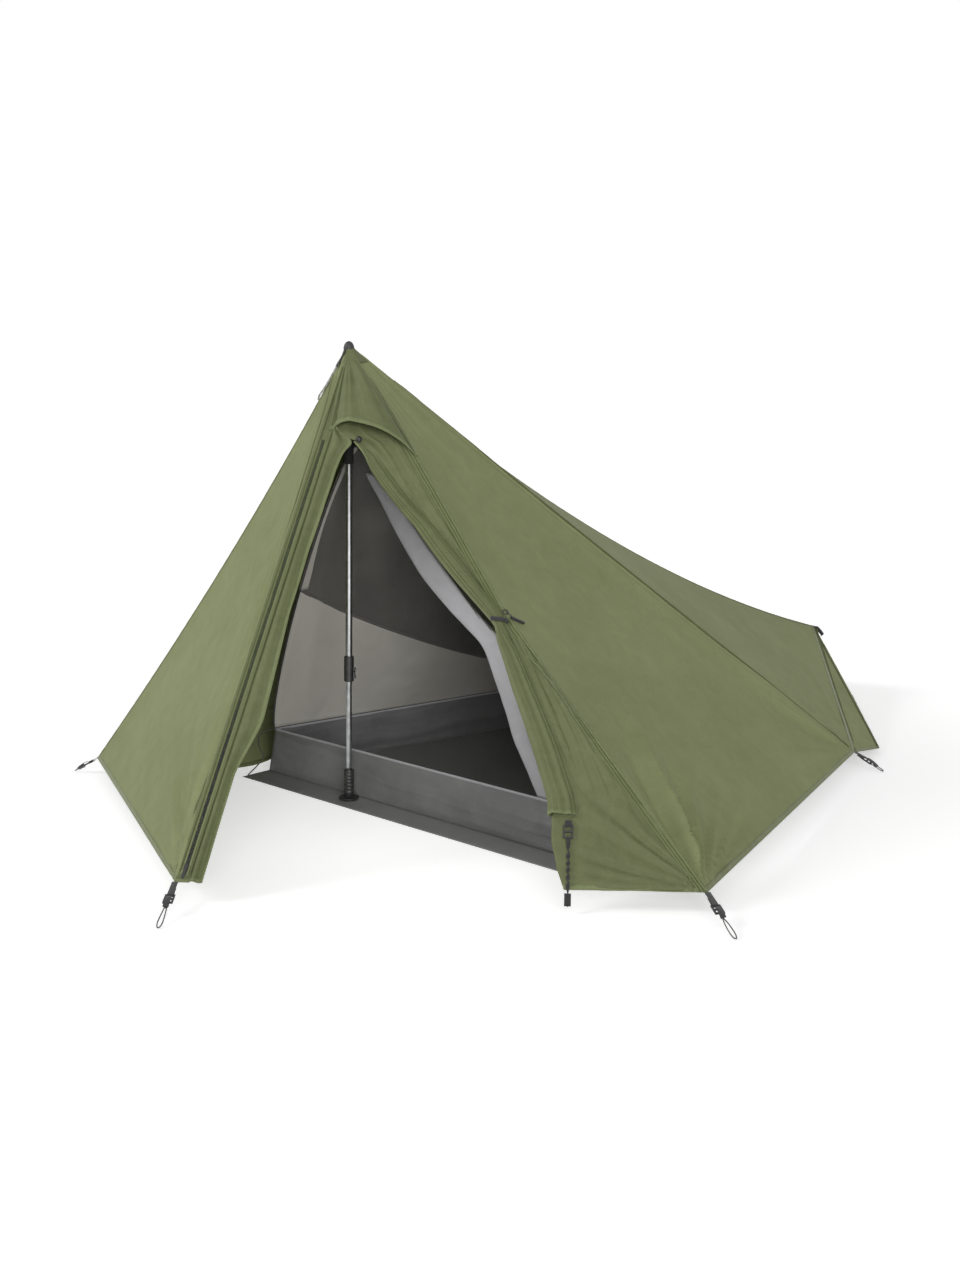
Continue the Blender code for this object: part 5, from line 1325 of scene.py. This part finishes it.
piece("tie_back_band", [loft(np.stack(rings, axis=1), np.arange(6) * 0.003, closed=True)], black_webbing,
      "tie_back_strap")
ring_radius = 0.0068
ring_centre = seam_place(0.478)[0] + door_normal * 0.0075
turn = np.linspace(0, math.tau, 33)[:-1, None]
facing_out = unit(door_normal + 0.6 * mean_normal(shapes["fly_right_side"][0]))
ring_x = unit(np.cross(facing_out, [0, 0, 1]))
ring_line = ring_centre + ring_radius * (np.cos(turn) * ring_x + np.sin(turn) * np.cross(facing_out, ring_x))
toggle_hole = np.array([0.39993, 0.00639, 0.63214])
link = smooth_path([ring_centre - 0.004 * ring_x, (ring_centre + toggle_hole) / 2 + facing_out * 0.004,
                    toggle_hole + facing_out * 0.003, toggle_hole - facing_out * 0.001], 6)
piece("tie_back_ring", [tube(ring_line, 0.0016, 10, closed=True)], black_plastic)
piece("tie_back_cord", [tube(link, 0.0013, 8)], elastic_cord)
print("tie band", round(float(lengths_along(loop)[-1]), 3), "m round")

# %% [markdown]
# ## Stage and light
#
# The photograph is cut out on white. A pale floor keeps a soft shadow, and camera rays that miss
# everything see white. A broad sun stands left and in front, a second one near the camera reaches into
# the tent, and the world adds an even light. Suns keep the floor equally bright out to its edge. A weak
# lamp in front of the doorway fills its shadows.

# %% Floor, lamps and world
def from_camera(tree):
    """1 on rays that come from the camera, straight or off or through a shiny surface."""
    rays = add(tree, "ShaderNodeLightPath").outputs
    seen = calc(tree, 'MAXIMUM', rays["Is Camera Ray"], rays["Is Glossy Ray"])
    return calc(tree, 'MAXIMUM', seen, rays["Is Transmission Ray"])


floor_half, floor_lift = 60, 0.50
stage_data = bpy.data.meshes.new("floor")
stage_data.from_pydata([(x * floor_half, y * floor_half, 0) for x, y in ((-1, -1), (1, -1), (1, 1), (-1, 1))],
                       [], [(0, 1, 2, 3)])
stage_finish, tree, shader = finish("pale_floor", Base_Color=(0.8, 0.8, 0.8, 1), Roughness=1.0,
                                    Specular_IOR_Level=0.0, Emission_Color=(1, 1, 1, 1))
tree.links.new(calc(tree, 'MULTIPLY', from_camera(tree), floor_lift), shader.inputs["Emission Strength"])
stage_data.materials.append(stage_finish)
into_scene("floor", stage_data)


def lamp(name, kind, place, strength):
    data = bpy.data.lights.new(name, kind)
    data.energy = strength
    made = into_scene(name, data)
    made.location = place
    return made


for name, place, strength, spread in (("key", (-3.2, -4.2, 3.0), 1.15, 22),
                                      ("front", (3.6, -2.9, 1.35), 1.80, 34)):
    sun = lamp(name, 'SUN', place, strength)
    sun.data.angle = math.radians(spread)
    sun.rotation_euler = (-Vector(place)).to_track_quat('-Z', 'Y').to_euler()
fill = lamp("door_fill", 'POINT', (0.10, -0.20, 0.50), 3.2)
fill.data.shadow_soft_size = 0.30
fill.visible_camera = False
world = bpy.data.worlds.new("studio")
bpy.context.scene.world = world
world.use_nodes = True
tree = world.node_tree
tree.nodes.clear()
even, white = (add(tree, "ShaderNodeBackground", Color=(1, 1, 1, 1), Strength=strength)
               for strength in (0.34, 1.0))
mixed = add(tree, "ShaderNodeMixShader", Fac=from_camera(tree), i1=even.outputs[0], i2=white.outputs[0])
tree.links.new(mixed.outputs[0], add(tree, "ShaderNodeOutputWorld").inputs["Surface"])
bpy.context.scene.view_settings.view_transform = 'Standard'
print("stage ready")

# %% [markdown]
# ## Kept solids
#
# Small moulded parts keep their solids and get their real finish. The visual model must stay in the
# frame's box.

# %% Finishes of the kept solids
metals = {"pole_tip": steel, "pole_lever_pin": steel, "foot_pole": pole_metal}
kept = {name: node for name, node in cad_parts.items() if not node.hide_render}
for name, node in kept.items():
    node.data.materials.clear()
    node.data.materials.append(metals.get(name, black_plastic))
print("kept solids", len(kept))
